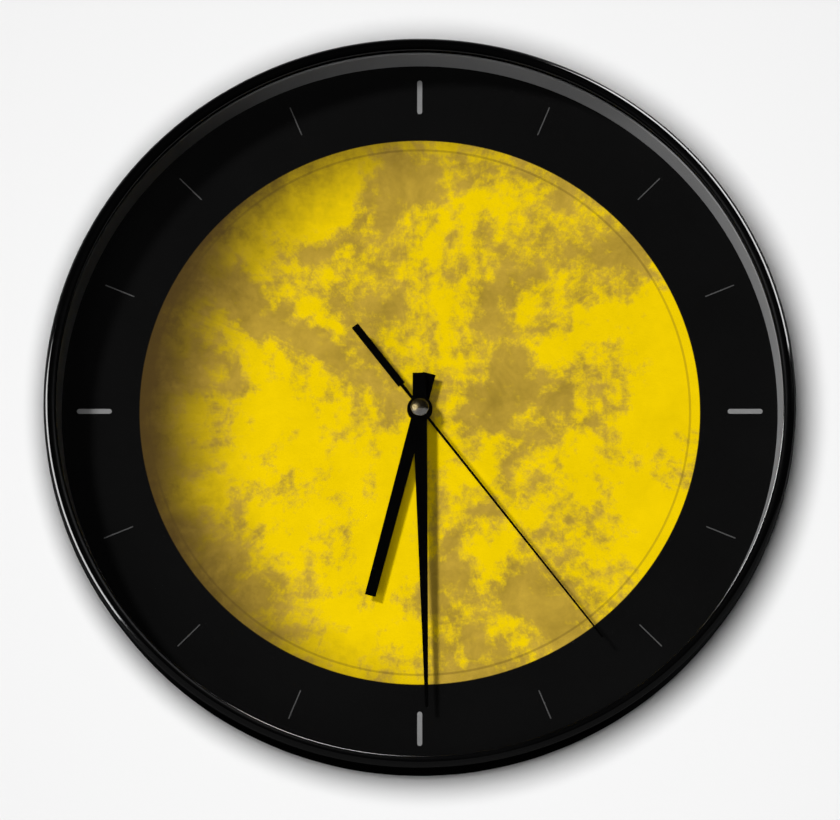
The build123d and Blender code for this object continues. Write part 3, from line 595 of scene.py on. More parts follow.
def moulded(name, colour, rough, grain, depth, vary=0.12, cloud=45.0, **sockets):
    """Moulded or painted: tone and gloss vary a little in clouds, over a fine grain of some depth."""
    material, tree, shader = new_finish(name, **sockets)
    where = place_in(tree)
    tone = ranged(tree, noise(tree, where, cloud), USUAL, (1 - vary, 1 + vary))
    tree.links.new(tinted(tree, colour, tone), shader.inputs["Base Color"])
    roughened(tree, shader, noise(tree, where, cloud * 3), rough)
    grained(tree, shader, where, grain, depth)
    return material


def brushed(name, colour, rough, depth, stretch=(1.0, 1.0, 1.0)):
    """Rolled or brushed metal: fine lines along one way, and a slow change of tone."""
    material, tree, shader = new_finish(name, Metallic=1.0)
    where = place_in(tree)
    lines_at = add(tree, "Mapping", {"Vector": where, "Scale": stretch}).outputs["Vector"]
    lines = noise(tree, lines_at, scale=220.0, detail=5.0, roughness=0.65)
    tone = ranged(tree, noise(tree, where, scale=60.0), USUAL, (0.86, 1.08))
    tree.links.new(tinted(tree, colour, tone), shader.inputs["Base Color"])
    roughened(tree, shader, lines, rough)
    embossed(tree, shader, lines, depth, strength=0.4)
    return material


def glass_finish():
    """Clear coated glass with the faintest smears."""
    material, tree, shader = new_finish("clear_glass", Transmission_Weight=1.0, IOR=1.15, Base_Color=WHITE)
    smears = noise(tree, place_in(tree), scale=14.0, detail=5.0, roughness=0.6)
    tree.links.new(ranged(tree, smears, (0.35, 0.75), (0.0, 0.012)), shader.inputs["Roughness"])
    return material


def print_rays(tree, flat, bearing, share, count):
    """Fine streaks that run out from the dial's centre, and one soft ray to each mark."""
    swing = (-0.02, 0.02)
    outward = add(tree, "VectorMath", {0: flat}, operation="NORMALIZE").outputs["Vector"]
    streaks = ranged(tree, noise(tree, outward, scale=42.0, detail=6.0, roughness=0.7), USUAL, swing)
    waves = maths(tree, "COSINE", maths(tree, "MULTIPLY", bearing, float(count)))
    soft_rays = ranged(tree, waves, (-1.0, 1.0), swing)
    opening = ranged(tree, share, (0.05, 0.5), (0.0, 1.0), smooth=True)
    return maths(tree, "MULTIPLY", maths(tree, "ADD", streaks, soft_rays), opening)


def print_gold(tree, dial, flat, fine, rays):
    """Gold under clouds of tan, coarse and fine, that the rays draw outwards."""
    fine_share = 0.55
    coarse = noise(tree, flat, scale=16.0, detail=12.0, roughness=0.58, distortion=0.6)
    cloud = maths(tree, "ADD", maths(tree, "ADD", coarse, rays), maths(tree, "MULTIPLY", fine, fine_share))
    clouded = ranged(tree, cloud, (0.69, 0.84), (1.0, 0.0), smooth=True)
    mottle = noise(tree, flat, scale=55.0, detail=9.0, roughness=0.72, distortion=0.3)
    bright = tinted(tree, dial.gold, ranged(tree, mottle, USUAL, (1.05, 0.92)))
    dull = tinted(tree, dial.tan, ranged(tree, mottle, USUAL, (1.28, 0.72)))
    return blended(tree, clouded, bright, dull)


def print_shade(tree, bearing, share, fine):
    """Share of brown towards the rim of the gold disc, deeper on one side."""
    deep_side, lean_share, fine_share = radians(80), 0.27, 0.24
    lean = maths(tree, "MULTIPLY", maths(tree, "COSINE", maths(tree, "ADD", bearing, deep_side)), lean_share)
    rim = maths(tree, "ADD", maths(tree, "ADD", share, lean), maths(tree, "MULTIPLY", fine, fine_share))
    return ranged(tree, rim, (0.96, 1.38), (0.0, 1.0), smooth=True)


def print_finish(dial):
    """The dial's print: a clouded gold disc with soft rays on a black ground, on fine paper."""
    material, tree, shader = new_finish("dial_print", Specular_IOR_Level=0.01)
    where = place_in(tree)
    apart = add(tree, "SeparateXYZ", {0: where}).outputs
    flat = add(tree, "CombineXYZ", {"X": apart["X"], "Y": 0.0, "Z": apart["Z"]}).outputs["Vector"]
    bearing = maths(tree, "ARCTAN2", apart["X"], apart["Z"])
    share = maths(tree, "DIVIDE", length_of(tree, flat), dial.disc)
    fine = noise(tree, flat, scale=130.0, detail=9.0, roughness=0.7)
    rays = print_rays(tree, flat, bearing, share, dial.rays)
    gold = print_gold(tree, dial, flat, fine, rays)
    brown = opaque(dial.shade)
    gold = blended(tree, print_shade(tree, bearing, share, fine), gold, brown)
    # A thin ring in the gold, and the edge of the disc, as shares of the disc's radius
    ring_at, ring_core, ring_edge, ring_depth = 0.965, 0.003, 0.005, 0.35
    ring = ranged(tree, away_from(tree, share, ring_at), (ring_core, ring_edge), (ring_depth, 0.0))
    gold = blended(tree, ring, gold, brown)
    inside = ranged(tree, share, (0.9985, 1.0015), (1.0, 0.0))
    ink = ranged(tree, noise(tree, where, scale=30.0), USUAL, (0.92, 1.08))
    colour = blended(tree, inside, tinted(tree, dial.ground, ink), gold)
    tree.links.new(colour, shader.inputs["Base Color"])
    roughened(tree, shader, fine, (0.62, 0.78))
    grained(tree, shader, where, scale=2600.0, depth=0.02 * MM, strength=0.25)
    return material


def cell_finish(back):
    """Sleeve of the cell: a dark jacket with a pale band, bare steel at both ends."""
    material, tree, shader = new_finish("cell_sleeve")
    low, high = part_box("battery")
    minus_end, plus_end, blur = low.x + 0.9 * MM, high.x - 2.6 * MM, 0.05 * MM
    stripe_at, stripe_half, stripe_edge = high.x - 12.0 * MM, 2.6 * MM, 2.7 * MM
    where = place_in(tree)
    along = add(tree, "SeparateXYZ", {0: where}).outputs["X"]
    striped = ranged(tree, away_from(tree, along, stripe_at), (stripe_half, stripe_edge), (1.0, 0.0))
    colour = blended(tree, striped, opaque(back.jacket), opaque(back.stripe))
    bare = maths(tree, "ADD", ranged(tree, along, (minus_end, minus_end + blur), (1.0, 0.0)),
                 ranged(tree, along, (plus_end, plus_end + blur), (0.0, 1.0)))
    colour = blended(tree, bare, colour, opaque(back.can))
    tree.links.new(colour, shader.inputs["Base Color"])
    tree.links.new(bare, shader.inputs["Metallic"])
    roughened(tree, shader, noise(tree, where, scale=160.0, detail=6.0), (0.24, 0.38))
    grained(tree, shader, where, scale=900.0, depth=0.02 * MM, strength=0.3)
    return material


def board_finish():
    """Solder mask over copper tracks."""
    material, tree, shader = new_finish("board_mask")
    where = place_in(tree)
    tracks = add(tree, "TexBrick", {"Vector": where, "Scale": 420.0, "Color1": (0.03, 0.16, 0.07, 1.0),
                                    "Color2": (0.05, 0.22, 0.10, 1.0), "Mortar": (0.10, 0.30, 0.14, 1.0),
                                    "Mortar Size": 0.03})
    tree.links.new(tracks.outputs["Color"], shader.inputs["Base Color"])
    roughened(tree, shader, noise(tree, where, scale=300.0), (0.28, 0.42))
    grained(tree, shader, where, scale=1500.0, depth=0.02 * MM)
    return material


def wound_finish(colour):
    """Close turns of enamelled wire about the coil's line, with painted shade in the grooves between turns.
    """
    wire = 0.12 * MM
    material, tree, shader = new_finish("enamelled_wire", Metallic=1.0)
    where = place_in(tree)
    along = add(tree, "SeparateXYZ", {0: where}).outputs["X"]
    turns = maths(tree, "SINE", maths(tree, "MULTIPLY", along, 2 * pi / wire))
    # The colour follows the same wave as the bumps: painted shade in the grooves between turns, and a slight
    # painted highlight on their crests
    tone = ranged(tree, turns, (-1.0, 1.0), (0.55, 1.1))
    tree.links.new(tinted(tree, colour, tone), shader.inputs["Base Color"])
    roughened(tree, shader, noise(tree, where, scale=400.0), (0.22, 0.36))
    embossed(tree, shader, turns, wire / 4, strength=0.6)
    return material


# Operators

class ClockOperator:
    """What the clock's operators share."""

    bl_options = {"REGISTER", "UNDO"}


def ring_section(ring, pocket, lip):
    """Section of the case ring: bead, brow and lip in front, flare and skirt behind."""
    back, front = heights("case_rim")
    glass_front = heights("lens")[1]
    outer = right_reach("case_rim")
    band_back = front - ring.bead_radius - ring.band
    return eased([
        (pocket, back, ring.edge), (pocket + ring.skirt_edge, back, ring.edge),
        (outer - ring.overhang, band_back - ring.flare, ring.flare_edge), (outer, band_back, ring.flare_edge),
        (outer, front, ring.bead_radius * NEARLY), (lip, front, ring.brow_radius * NEARLY),
        (lip, glass_front, ring.edge), (pocket, glass_front, 0.0)], steps=10)


def snap_lugs(ring, pocket):
    """The small ramps inside the skirt that hold the back plate."""
    front = heights("back_plate")[1] - ring.plate_wall - ring.lug_play
    root = pocket + ring.lug_root
    section = [(root, front), (pocket - ring.lug_reach, front), (root, front - ring.lug_ramp)]
    arc = ring.lug_width / pocket
    middles = ((step + 0.5) * 2 * pi / ring.lug_count for step in range(ring.lug_count))
    return [turned(section, steps=12, first=middle - arc / 2, arc=arc) for middle in middles]


class CLOCK_OT_case_ring(ClockOperator, bpy.types.Operator):
    """Turn the glossy ring with its bead, lip, skirt and snap lugs"""

    bl_idname = "clock.case_ring"
    bl_label = "Case ring"

    def execute(self, context):
        ring = context.scene.clock_ring
        front = heights("case_rim")[1]
        lip = right_reach("case_rim") - ring.bead_radius - ring.brow_radius
        pocket = right_reach("lens") + ring.glass_play
        mesh = joined(turned(ring_section(ring, pocket, lip), steps=360), *snap_lugs(ring, pocket))
        gloss = moulded("gloss_black", ring.gloss, rough=(0.10, 0.15), grain=900.0, depth=0.004 * MM,
                        vary=0.2, cloud=30.0, Specular_IOR_Level=0.03, Coat_Weight=0.07,
                        Coat_Roughness=0.04)
        brow = moulded("brow_black", ring.gloss, rough=(0.36, 0.44), grain=900.0, depth=0.006 * MM,
                       vary=0.2, cloud=30.0, Specular_IOR_Level=0.004)
        matt = moulded("matt_black", ring.matt, rough=(0.7, 0.8), grain=2600.0, depth=0.03 * MM,
                       cloud=30.0, Specular_IOR_Level=0.0)
        # The brow and all inside it take the second finish, and the side behind the bead the third
        for face in mesh.faces:
            middle = face.calc_center_median()
            inner = hypot(middle.x, middle.y) < lip + ring.brow_radius
            behind = middle.z < front - ring.bead_radius / 2
            face.material_index = 1 if inner else 2 if behind else 0
        made = piece("case_ring", mesh, gloss, "case", "case_black", "case_rim")
        made.data.materials.append(brow)
        made.data.materials.append(matt)
        # The middle of the thread lies in the lip, so that half its radius stands out
        middle = lip + ring.thread / 2, front - ring.brow_radius + ring.thread
        bright = moulded("thread_black", ring.gloss, rough=(0.10, 0.15), grain=900.0, depth=0.002 * MM,
                         vary=0.2, cloud=30.0, Specular_IOR_Level=0.15)
        thread = turned(circle(ring.thread, middle, steps=24), steps=360)
        piece("lip_thread", thread, bright, "case", "case_black", "case_rim")
        return {"FINISHED"}


class CLOCK_OT_glass(ClockOperator, bpy.types.Operator):
    """Seat the flat glass behind the lip"""

    bl_idname = "clock.glass"
    bl_label = "Glass"

    def execute(self, context):
        back, front = heights("lens")
        radius = right_reach("lens")
        edge = context.scene.clock_ring.edge
        section = eased([(0, back, 0), (radius, back, edge), (radius, front, edge), (0, front, 0)], steps=3)
        mesh = turned(section, closed=False)
        made = piece("glass", mesh, glass_finish(), "case", "lens_glass", "lens")
        made.visible_shadow = False
        made.visible_diffuse = False
        return {"FINISHED"}


class CLOCK_OT_slope_ring(ClockOperator, bpy.types.Operator):
    """Turn the sloping ring that holds the glass off the dial"""

    bl_idname = "clock.slope_ring"
    bl_label = "Sloping ring"

    def execute(self, context):
        ring = context.scene.clock_ring
        back, front = heights("spacer_ring")
        outer = right_reach("spacer_ring")
        section = eased([(outer, back, ring.edge), (outer, front, ring.edge),
                         (outer - ring.slope_wall, front, ring.edge), (ring.slope_foot, back, 0.0)], steps=4)
        finish = moulded("satin_black", ring.satin, rough=(0.38, 0.5), grain=1100.0, depth=0.07 * MM,
                         vary=0.08, cloud=30.0)
        piece("slope_ring", turned(section, steps=360), finish, "case", "spacer_black", "spacer_ring")
        return {"FINISHED"}


class CLOCK_OT_dial(ClockOperator, bpy.types.Operator):
    """Lay the printed paper dial"""

    bl_idname = "clock.dial"
    bl_label = "Dial"

    def execute(self, context):
        dial = context.scene.clock_dial
        back, front = heights("dial_print")
        outer = right_reach("dial_print")
        section = eased([(dial.hole, back, dial.edge), (outer, back, dial.edge), (outer, front, dial.edge),
                         (dial.hole, front, dial.edge)], steps=2)
        made = piece("dial", turned(section), print_finish(dial), "case", "dial_paper", "dial_print")
        made.visible_diffuse = False
        return {"FINISHED"}


class CLOCK_OT_marks(ClockOperator, bpy.types.Operator):
    """Set the four wide marks and the thin marks between them on the dial"""

    bl_idname = "clock.marks"
    bl_label = "Marks"

    def execute(self, context):
        dial = context.scene.clock_dial
        low, high = heights("quarter_batons")
        batons, ticks = [], []
        quarter = dial.rays // 4
        for step in range(dial.rays):
            wide = step % quarter == 0
            length = dial.baton_length if wide else dial.tick_length
            outline = slot(length, dial.baton_width) if wide else bar(length, dial.tick_width)
            reach = (dial.baton_end if wide else dial.tick_end) - length / 2
            mesh = moved(sheet([outline], low, high, dial.edge), y=reach)
            spun(mesh, step * 2 * pi / dial.rays)
            (batons if wide else ticks).append(mesh)
        for name, meshes, colour, node in (("batons", batons, dial.baton_grey, "quarter_batons"),
                                           ("ticks", ticks, dial.tick_grey, "tick_marks")):
            finish = moulded(name + "_grey", colour, rough=(0.4, 0.55), grain=2200.0, depth=0.01 * MM,
                             vary=0.05, cloud=300.0)
            piece(name, joined(*meshes), finish, "case", "mark_grey", node)
        return {"FINISHED"}


def hand_outline(side, hub, steps=40):
    """Outline of a hand from its right side, tail to tip, with the round hub let in."""
    right = []
    entry = None
    for start, end in zip(side, side[1:]):
        if hypot(*start) > hub:
            right.append(start)
        run = (end[0] - start[0], end[1] - start[1])
        square = run[0] ** 2 + run[1] ** 2
        along = start[0] * run[0] + start[1] * run[1]
        room = along ** 2 - square * (start[0] ** 2 + start[1] ** 2 - hub ** 2)
        if room <= 0:
            continue
        for share in ((-along - sqrt(room)) / square, (-along + sqrt(room)) / square):
            if not 0 < share < 1:
                continue
            x, y = start[0] + share * run[0], start[1] + share * run[1]
            turn = atan2(y, x)
            if entry is None:
                entry = turn
                right.append((x, y))
                continue
            for step in range(1, steps):
                angle = entry + (turn - entry) * step / steps
                right.append((hub * cos(angle), hub * sin(angle)))
            right.append((x, y))
    right.append(side[-1])
    return right + [(-x, y) for x, y in reversed(right)]


def hand_sides(hands):
    """Right side of each hand, tail to tip, as it points to twelve."""
    weight = hands.weight_width / 2
    return {
        "hour": [(hands.hour_tail_width / 2, -hands.hour_tail), (hands.hour_tip / 2, hands.hour_length)],
        "minute": [(hands.minute_tail_width / 2, -hands.minute_tail), (hands.minute_root / 2, 0.0),
                   (hands.minute_tip / 2, hands.minute_length)],
        "second": [(weight, -hands.weight_end), (weight, -hands.weight_start),
                   (hands.second_neck / 2, -hands.weight_start), (hands.second_root / 2, 0.0),
                   (hands.second_tip / 2, hands.second_length)],
    }


class CLOCK_OT_hands(ClockOperator, bpy.types.Operator):
    """Cut the hour, minute and second hands and their collets"""

    bl_idname = "clock.hands"
    bl_label = "Hands"

    def execute(self, context):
        hands = context.scene.clock_hands
        finish = moulded("hand_lacquer", hands.black, rough=(0.42, 0.55), grain=1600.0, depth=0.01 * MM,
                         vary=0.15, cloud=60.0, Specular_IOR_Level=0.02)
        for hand, side in hand_sides(hands).items():
            back, front = heights(hand + "_hand")
            bore = getattr(hands, hand + "_bore")
            hub = hands.second_hub if hand == "second" else hands.hub
            blade = sheet([hand_outline(side, hub), circle(bore)], front - hands.sheet, front, hands.edge)
            outer, seat = bore + hands.collet_wall, front - hands.sheet * hands.collet_seat
            collet = eased([(bore, back, hands.collet_mouth), (outer, back, hands.collet_foot),
                            (outer, seat, 0.0), (bore, seat, 0.0)], steps=2)
            mesh = spun(joined(blade, turned(collet, steps=64)), getattr(hands, hand + "_angle"))
            piece(hand + "_blade", mesh, finish, hand, "hand_black", hand + "_hand")
        return {"FINISHED"}


class CLOCK_OT_cap(ClockOperator, bpy.types.Operator):
    """Turn the domed cap over the hub"""

    bl_idname = "clock.cap"
    bl_label = "Hand cap"

    def execute(self, context):
        hands = context.scene.clock_hands
        low, high = heights("hand_cap")
        radius = right_reach("hand_cap")
        shoulder = low + hands.cap_edge
        dome = [(out, shoulder + up) for out, up in domed(radius, high - shoulder)[1:]]
        foot = eased([(0.0, low, 0.0), (radius, low, hands.cap_foot),
                      (radius, shoulder, hands.cap_shoulder), dome[0] + (0.0,)], steps=4)
        finish = brushed("cap_steel", hands.steel, rough=(0.20, 0.28), depth=0.001 * MM)
        mesh = turned(foot[:-1] + dome, steps=96, closed=False)
        piece("cap", mesh, finish, "second", "cap_steel", "hand_cap")
        return {"FINISHED"}


class CLOCK_OT_back(ClockOperator, bpy.types.Operator):
    """Finish the moulded back with its skirt, ribs, spring arms and pads"""

    bl_idname = "clock.back"
    bl_label = "Back plate"

    def execute(self, context):
        back = context.scene.clock_back
        finish = moulded("moulded_black", back.plate, rough=(0.5, 0.66), grain=2400.0, depth=0.05 * MM,
                         cloud=22.0)
        mesh = rounded_solid("back_plate", back.plate_edge, steps=3)
        piece("moulded_back", mesh, finish, "case", "plate_black", "back_plate")
        return {"FINISHED"}


def cross_recess(span):
    """Outline of a cross whose four arms narrow a little towards their ends."""
    reach, root, end = span / 2, span / 8, span / 10
    arm = [(end, reach), (root, root), (reach, end)]
    cross = []
    for x, y in ((1, 1), (1, -1), (-1, -1), (-1, 1)):
        cross += [(x * across, y * up) for across, up in (arm if x * y > 0 else reversed(arm))]
    return cross


def cross_screws(node, shank, rise, span):
    """A node's two pan-head screws, side by side, with a cross recess sunk into each domed head."""
    turn, depth, tip = radians(20), span / 3, shank / 4
    low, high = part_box(node)
    crown, end = heights(node)
    head = (high.z - low.z) / 2
    seat = crown + rise
    section = [(0.0, end), (shank - tip, end), (shank, end - tip), (shank, seat), (head, seat)]
    section += [(out, seat - up) for out, up in domed(head, rise)[1:]]
    screws, tools = [], []
    for x in (low.x + head, high.x - head):
        place = x, (low.z + high.z) / 2
        screws.append(moved(turned(section, steps=48, closed=False), *place))
        tool = spun(sheet([cross_recess(span)], crown - span / 2, crown + depth, 0.0), turn)
        tools.append(moved(tool, *place))
    return sunk(joined(*screws), joined(*tools))


class CLOCK_OT_hanger(ClockOperator, bpy.types.Operator):
    """Bend the keyhole bracket and drive its two screws"""

    bl_idname = "clock.hanger"
    bl_label = "Hanger"

    def execute(self, context):
        back = context.scene.clock_back
        rolled = brushed("rolled_steel", back.bracket, rough=(0.26, 0.42), depth=0.01 * MM,
                         stretch=(1.0, 1.0, 0.05))
        strap = rounded_solid("hanger_bracket", back.strap_edge)
        piece("keyhole_strap", strap, rolled, "case", "bracket_steel", "hanger_bracket")
        steel = brushed("screw_steel", back.screws, rough=(0.22, 0.36), depth=0.005 * MM)
        screws = cross_screws("hanger_screws", back.strap_shank, back.strap_head, back.strap_recess)
        piece("strap_screws", screws, steel, "case", "screw_steel", "hanger_screws")
        return {"FINISHED"}


class CLOCK_OT_movement(ClockOperator, bpy.types.Operator):
    """Finish the movement's housing, cover and setting knob"""

    bl_idname = "clock.movement"
    bl_label = "Movement"

    def execute(self, context):
        back = context.scene.clock_back
        black = moulded("housing_black", back.housing, rough=(0.36, 0.5), grain=1900.0, depth=0.03 * MM,
                        vary=0.1, cloud=60.0)
        red = moulded("knob_red", back.knob, rough=(0.34, 0.46), grain=1800.0, depth=0.02 * MM,
                      vary=0.08, cloud=90.0)
        for name, node, finish, body, slot_name in (
                ("housing", "movement_base", black, "case", "movement_black"),
                ("housing_cover", "movement_cover", black, "case", "movement_black"),
                ("fluted_knob", "setting_knob", red, "setting", "gear_red")):
            piece(name, rounded_solid(node, back.housing_edge), finish, body, slot_name, node)
        return {"FINISHED"}


class CLOCK_OT_cell(ClockOperator, bpy.types.Operator):
    """Put the cell in its bay between the two contacts"""

    bl_idname = "clock.cell"
    bl_label = "Cell"

    def execute(self, context):
        back = context.scene.clock_back
        low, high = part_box("battery")
        radius = (high.z - low.z) / 2
        length = high.x - low.x
        sleeve_end = length - back.cell_nub_rise
        plus_face = sleeve_end - 0.1 * MM
        # The minus end has a flat pad inside a shallow groove, and the sleeve curls in over the plus end
        pad, groove, curl = radius - 1.6 * MM, radius - 1.2 * MM, radius - 1.5 * MM
        section = eased([
            (0.0, 0.0, 0.0), (pad, 0.0, 0.3 * MM), (groove, 0.35 * MM, 0.2 * MM),
            (radius, 0.1 * MM, 0.5 * MM), (radius, sleeve_end, 0.9 * MM), (curl, plus_face, 0.3 * MM),
            (back.cell_nub, plus_face, 0.3 * MM), (back.cell_nub, length, 0.5 * MM),
            (0.0, length, 0.0)], steps=4)
        mesh = turned(section, steps=96, closed=False)
        bmesh.ops.transform(mesh, matrix=Matrix.Rotation(pi / 2, 4, "Y"), verts=mesh.verts)
        moved(mesh, low.x, (low.z + high.z) / 2, -(low.y + high.y) / 2)
        piece("cell", mesh, cell_finish(back), "case", "cell_jacket", "battery")
        nickel = brushed("contact_nickel", back.nickel, rough=(0.2, 0.34), depth=0.004 * MM,
                         stretch=(1.0, 0.1, 1.0))
        for name, node in (("plus_leaf", "contact_positive"), ("minus_leaf", "contact_negative")):
            piece(name, rounded_solid(node, back.leaf_edge), nickel, "case", "contact_nickel", node)
        return {"FINISHED"}


class CLOCK_OT_train(ClockOperator, bpy.types.Operator):
    """Finish the wheels, pipes, motor and circuit inside the movement"""

    bl_idname = "clock.train"
    bl_label = "Train, motor and circuit"

    def execute(self, context):
        back = context.scene.clock_back
        white, red = (moulded(name, colour, rough=(0.34, 0.46), grain=2500.0, depth=0.01 * MM, vary=0.05,
                              cloud=200.0)
                      for name, colour in (("gear_white", back.gears), ("gear_red", back.knob)))
        brass, steel = (brushed(name, colour, rough=(0.2, 0.32), depth=0.003 * MM)
                        for name, colour in (("turned_brass", back.brass), ("arbor_steel", back.screws)))
        iron = brushed("soft_iron", back.iron, rough=(0.34, 0.46), depth=0.004 * MM, stretch=(1.0, 1.0, 0.2))
        can = brushed("crystal_can", back.crystal, rough=(0.22, 0.32), depth=0.003 * MM,
                      stretch=(0.2, 1.0, 1.0))
        magnet = moulded("sintered_magnet", back.magnet, rough=(0.5, 0.62), grain=2500.0, depth=0.02 * MM)
        finishes = (
            (white, "seconds_wheel", "third_wheel", "intermediate_wheel", "rotor_pinion", "mid_plate",
             "coil_bobbin"),
            (red, "motion_wheel"), (brass, "minute_pipe", "hour_wheel", "centre_wheel"),
            (steel, "second_arbor"), (iron, "stator", "coil_core"), (can, "quartz_crystal"),
            (magnet, "rotor_magnet"),
            (wound_finish(back.copper), "coil_winding"), (board_finish(), "circuit_board"))
        for finish, *nodes in finishes:
            for node in nodes:
                slots = frame["nodes"][node].data.materials
                slots.clear()
                slots.append(finish)
        screws = cross_screws("motor_screws", back.core_shank, back.core_head, back.core_recess)
        piece("core_screws", screws, steel, "case", "screw_steel", "motor_screws")
        self.chip(back)
        return {"FINISHED"}

    def chip(self, back):
        """The round drop of resin over the chip."""
        low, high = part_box("chip_blob")
        crown, foot = heights("chip_blob")
        radius = (high.x - low.x) / 2
        section = [(0.0, foot)] + [(out, foot - up) for out, up in domed(radius, foot - crown)]
        mesh = moved(turned(section, steps=64, closed=False), (low.x + high.x) / 2, (low.z + high.z) / 2)
        potting = moulded("potting_black", back.potting, rough=(0.2, 0.36), grain=900.0, depth=0.03 * MM)
        piece("potted_chip", mesh, potting, "case", "chip_black", "chip_blob")


def lamp(name, kind, direction, distance, aim=(0.0, 0.0, 0.0), along=(0.0, 0.0, 1.0), **settings):
    """A lamp in a direction from the middle of the clock, turned to its aim, its long side along a line."""
    data = bpy.data.lights.new(name, kind)
    for key, value in settings.items():
        setattr(data, key, value)
    made = bpy.data.objects.new(name, data)
    place = MIDDLE + Vector(direction).normalized() * distance
    back = (place - Vector(aim)).normalized()
    side = Vector(along).cross(back).normalized()
    turn = Matrix((side, back.cross(side), back)).transposed()
    made.matrix_world = Matrix.Translation(place) @ turn.to_4x4()
    bpy.context.scene.collection.objects.link(made)
    return made


def sun(name, direction, energy, softness):
    """A far lamp, which lights evenly from one side, softer the more degrees it spans."""
    return lamp(name, "SUN", direction, distance=3.0, energy=energy, angle=radians(softness))


def disk(name, direction, distance, energy, size, **settings):
    """A round soft lamp."""
    return lamp(name, "AREA", direction, distance, energy=energy, shape="DISK", size=size, **settings)


def linked_to(lamp_object, state, *targets):
    """Make a lamp light only some things, or all but those things."""
    group = bpy.data.collections.new(lamp_object.name + "_receivers")
    for target in targets:
        group.objects.link(target)
    for target in group.collection_objects:
        target.light_linking.link_state = state
    lamp_object.light_linking.receiver_collection = group


def made_as(*names):
    """The pieces with these names that are in the scene."""
    return [made for made in bpy.context.scene.objects if made.name in names]


def backdrop(name, corners, finish):
    """A large flat sheet of the stage."""
    data = bpy.data.meshes.new(name)
    data.from_pydata(corners, [], [(0, 1, 2, 3)])
    data.materials.append(finish)
    made = bpy.data.objects.new(name, data)
    bpy.context.scene.collection.objects.link(made)
    return made


def mirrored_rays(tree, path):
    """One for rays that mirrors and glass pass on."""
    return maths(tree, "MAXIMUM", path["Is Glossy Ray"], path["Is Transmission Ray"])


def seen_by_eye(tree):
    """One for rays from the camera, and for those that mirrors and glass pass on."""
    path = add(tree, "LightPath").outputs
    return maths(tree, "MAXIMUM", path["Is Camera Ray"], mirrored_rays(tree, path))


def bare_tree(holder):
    """The emptied node tree of a material or a world."""
    holder.use_nodes = True
    holder.node_tree.nodes.clear()
    return holder.node_tree


def wall_finish(stage):
    """Matt paint that shows from the front only, goes pale away from the clock and lets lamps through."""
    near, far = 0.3, 0.8
    material = bpy.data.materials.new("wall_paint")
    tree = bare_tree(material)
    paint = add(tree, "BsdfDiffuse", {"Color": opaque(stage.wall)})
    clear = add(tree, "BsdfTransparent")
    pale = add(tree, "Emission", {"Color": WHITE, "Strength": stage.pale})
    away = ranged(tree, length_of(tree, place_in(tree)), (near, far), (0.0, 1.0), smooth=True)
    face = add(tree, "MixShader", {0: away, 1: paint.outputs[0], 2: pale.outputs[0]})
    front = maths(tree, "SUBTRACT", 1.0, add(tree, "NewGeometry").outputs["Backfacing"])
    shown = maths(tree, "MULTIPLY", front, seen_by_eye(tree))
    both = add(tree, "MixShader", {0: shown, 1: clear.outputs[0], 2: face.outputs[0]})
    add(tree, "OutputMaterial", {"Surface": both.outputs[0]})
    return material


def floor_finish(stage):
    """Plain pale paint, lifted a little where it is looked at."""
    material = bpy.data.materials.new("floor_paint")
    tree = bare_tree(material)
    paint = add(tree, "BsdfDiffuse", {"Color": opaque(stage.floor)})
    lift = maths(tree, "MULTIPLY", seen_by_eye(tree), stage.lift)
    glow = add(tree, "Emission", {"Color": WHITE, "Strength": lift})
    both = add(tree, "AddShader", {0: paint.outputs[0], 1: glow.outputs[0]})
    add(tree, "OutputMaterial", {"Surface": both.outputs[0]})
    return material


def pale_surround(world, stage):
    """Dim light from all round, with a pale surround for the eye and a dark room in front of the glass."""
    dark, ahead_from, ahead_to = 0.01, -0.05, 0.45
    tree = bare_tree(world)
    ahead = add(tree, "SeparateXYZ", {0: add(tree, "TexCoord").outputs["Generated"]}).outputs["Y"]
    path = add(tree, "LightPath").outputs
    room = ranged(tree, ahead, (ahead_from, ahead_to), (dark, stage.pale), smooth=True)
    strength = ranged(tree, path["Is Camera Ray"], (0.0, 1.0), (stage.ambient, stage.pale))
    mirrored = mirrored_rays(tree, path)
    strength = add(tree, "Mix", {"Factor": mirrored, "A": strength, "B": room}).outputs["Result"]
    shine = add(tree, "Background", {"Color": WHITE, "Strength": strength})
    add(tree, "OutputWorld", {"Surface": shine.outputs[0]})


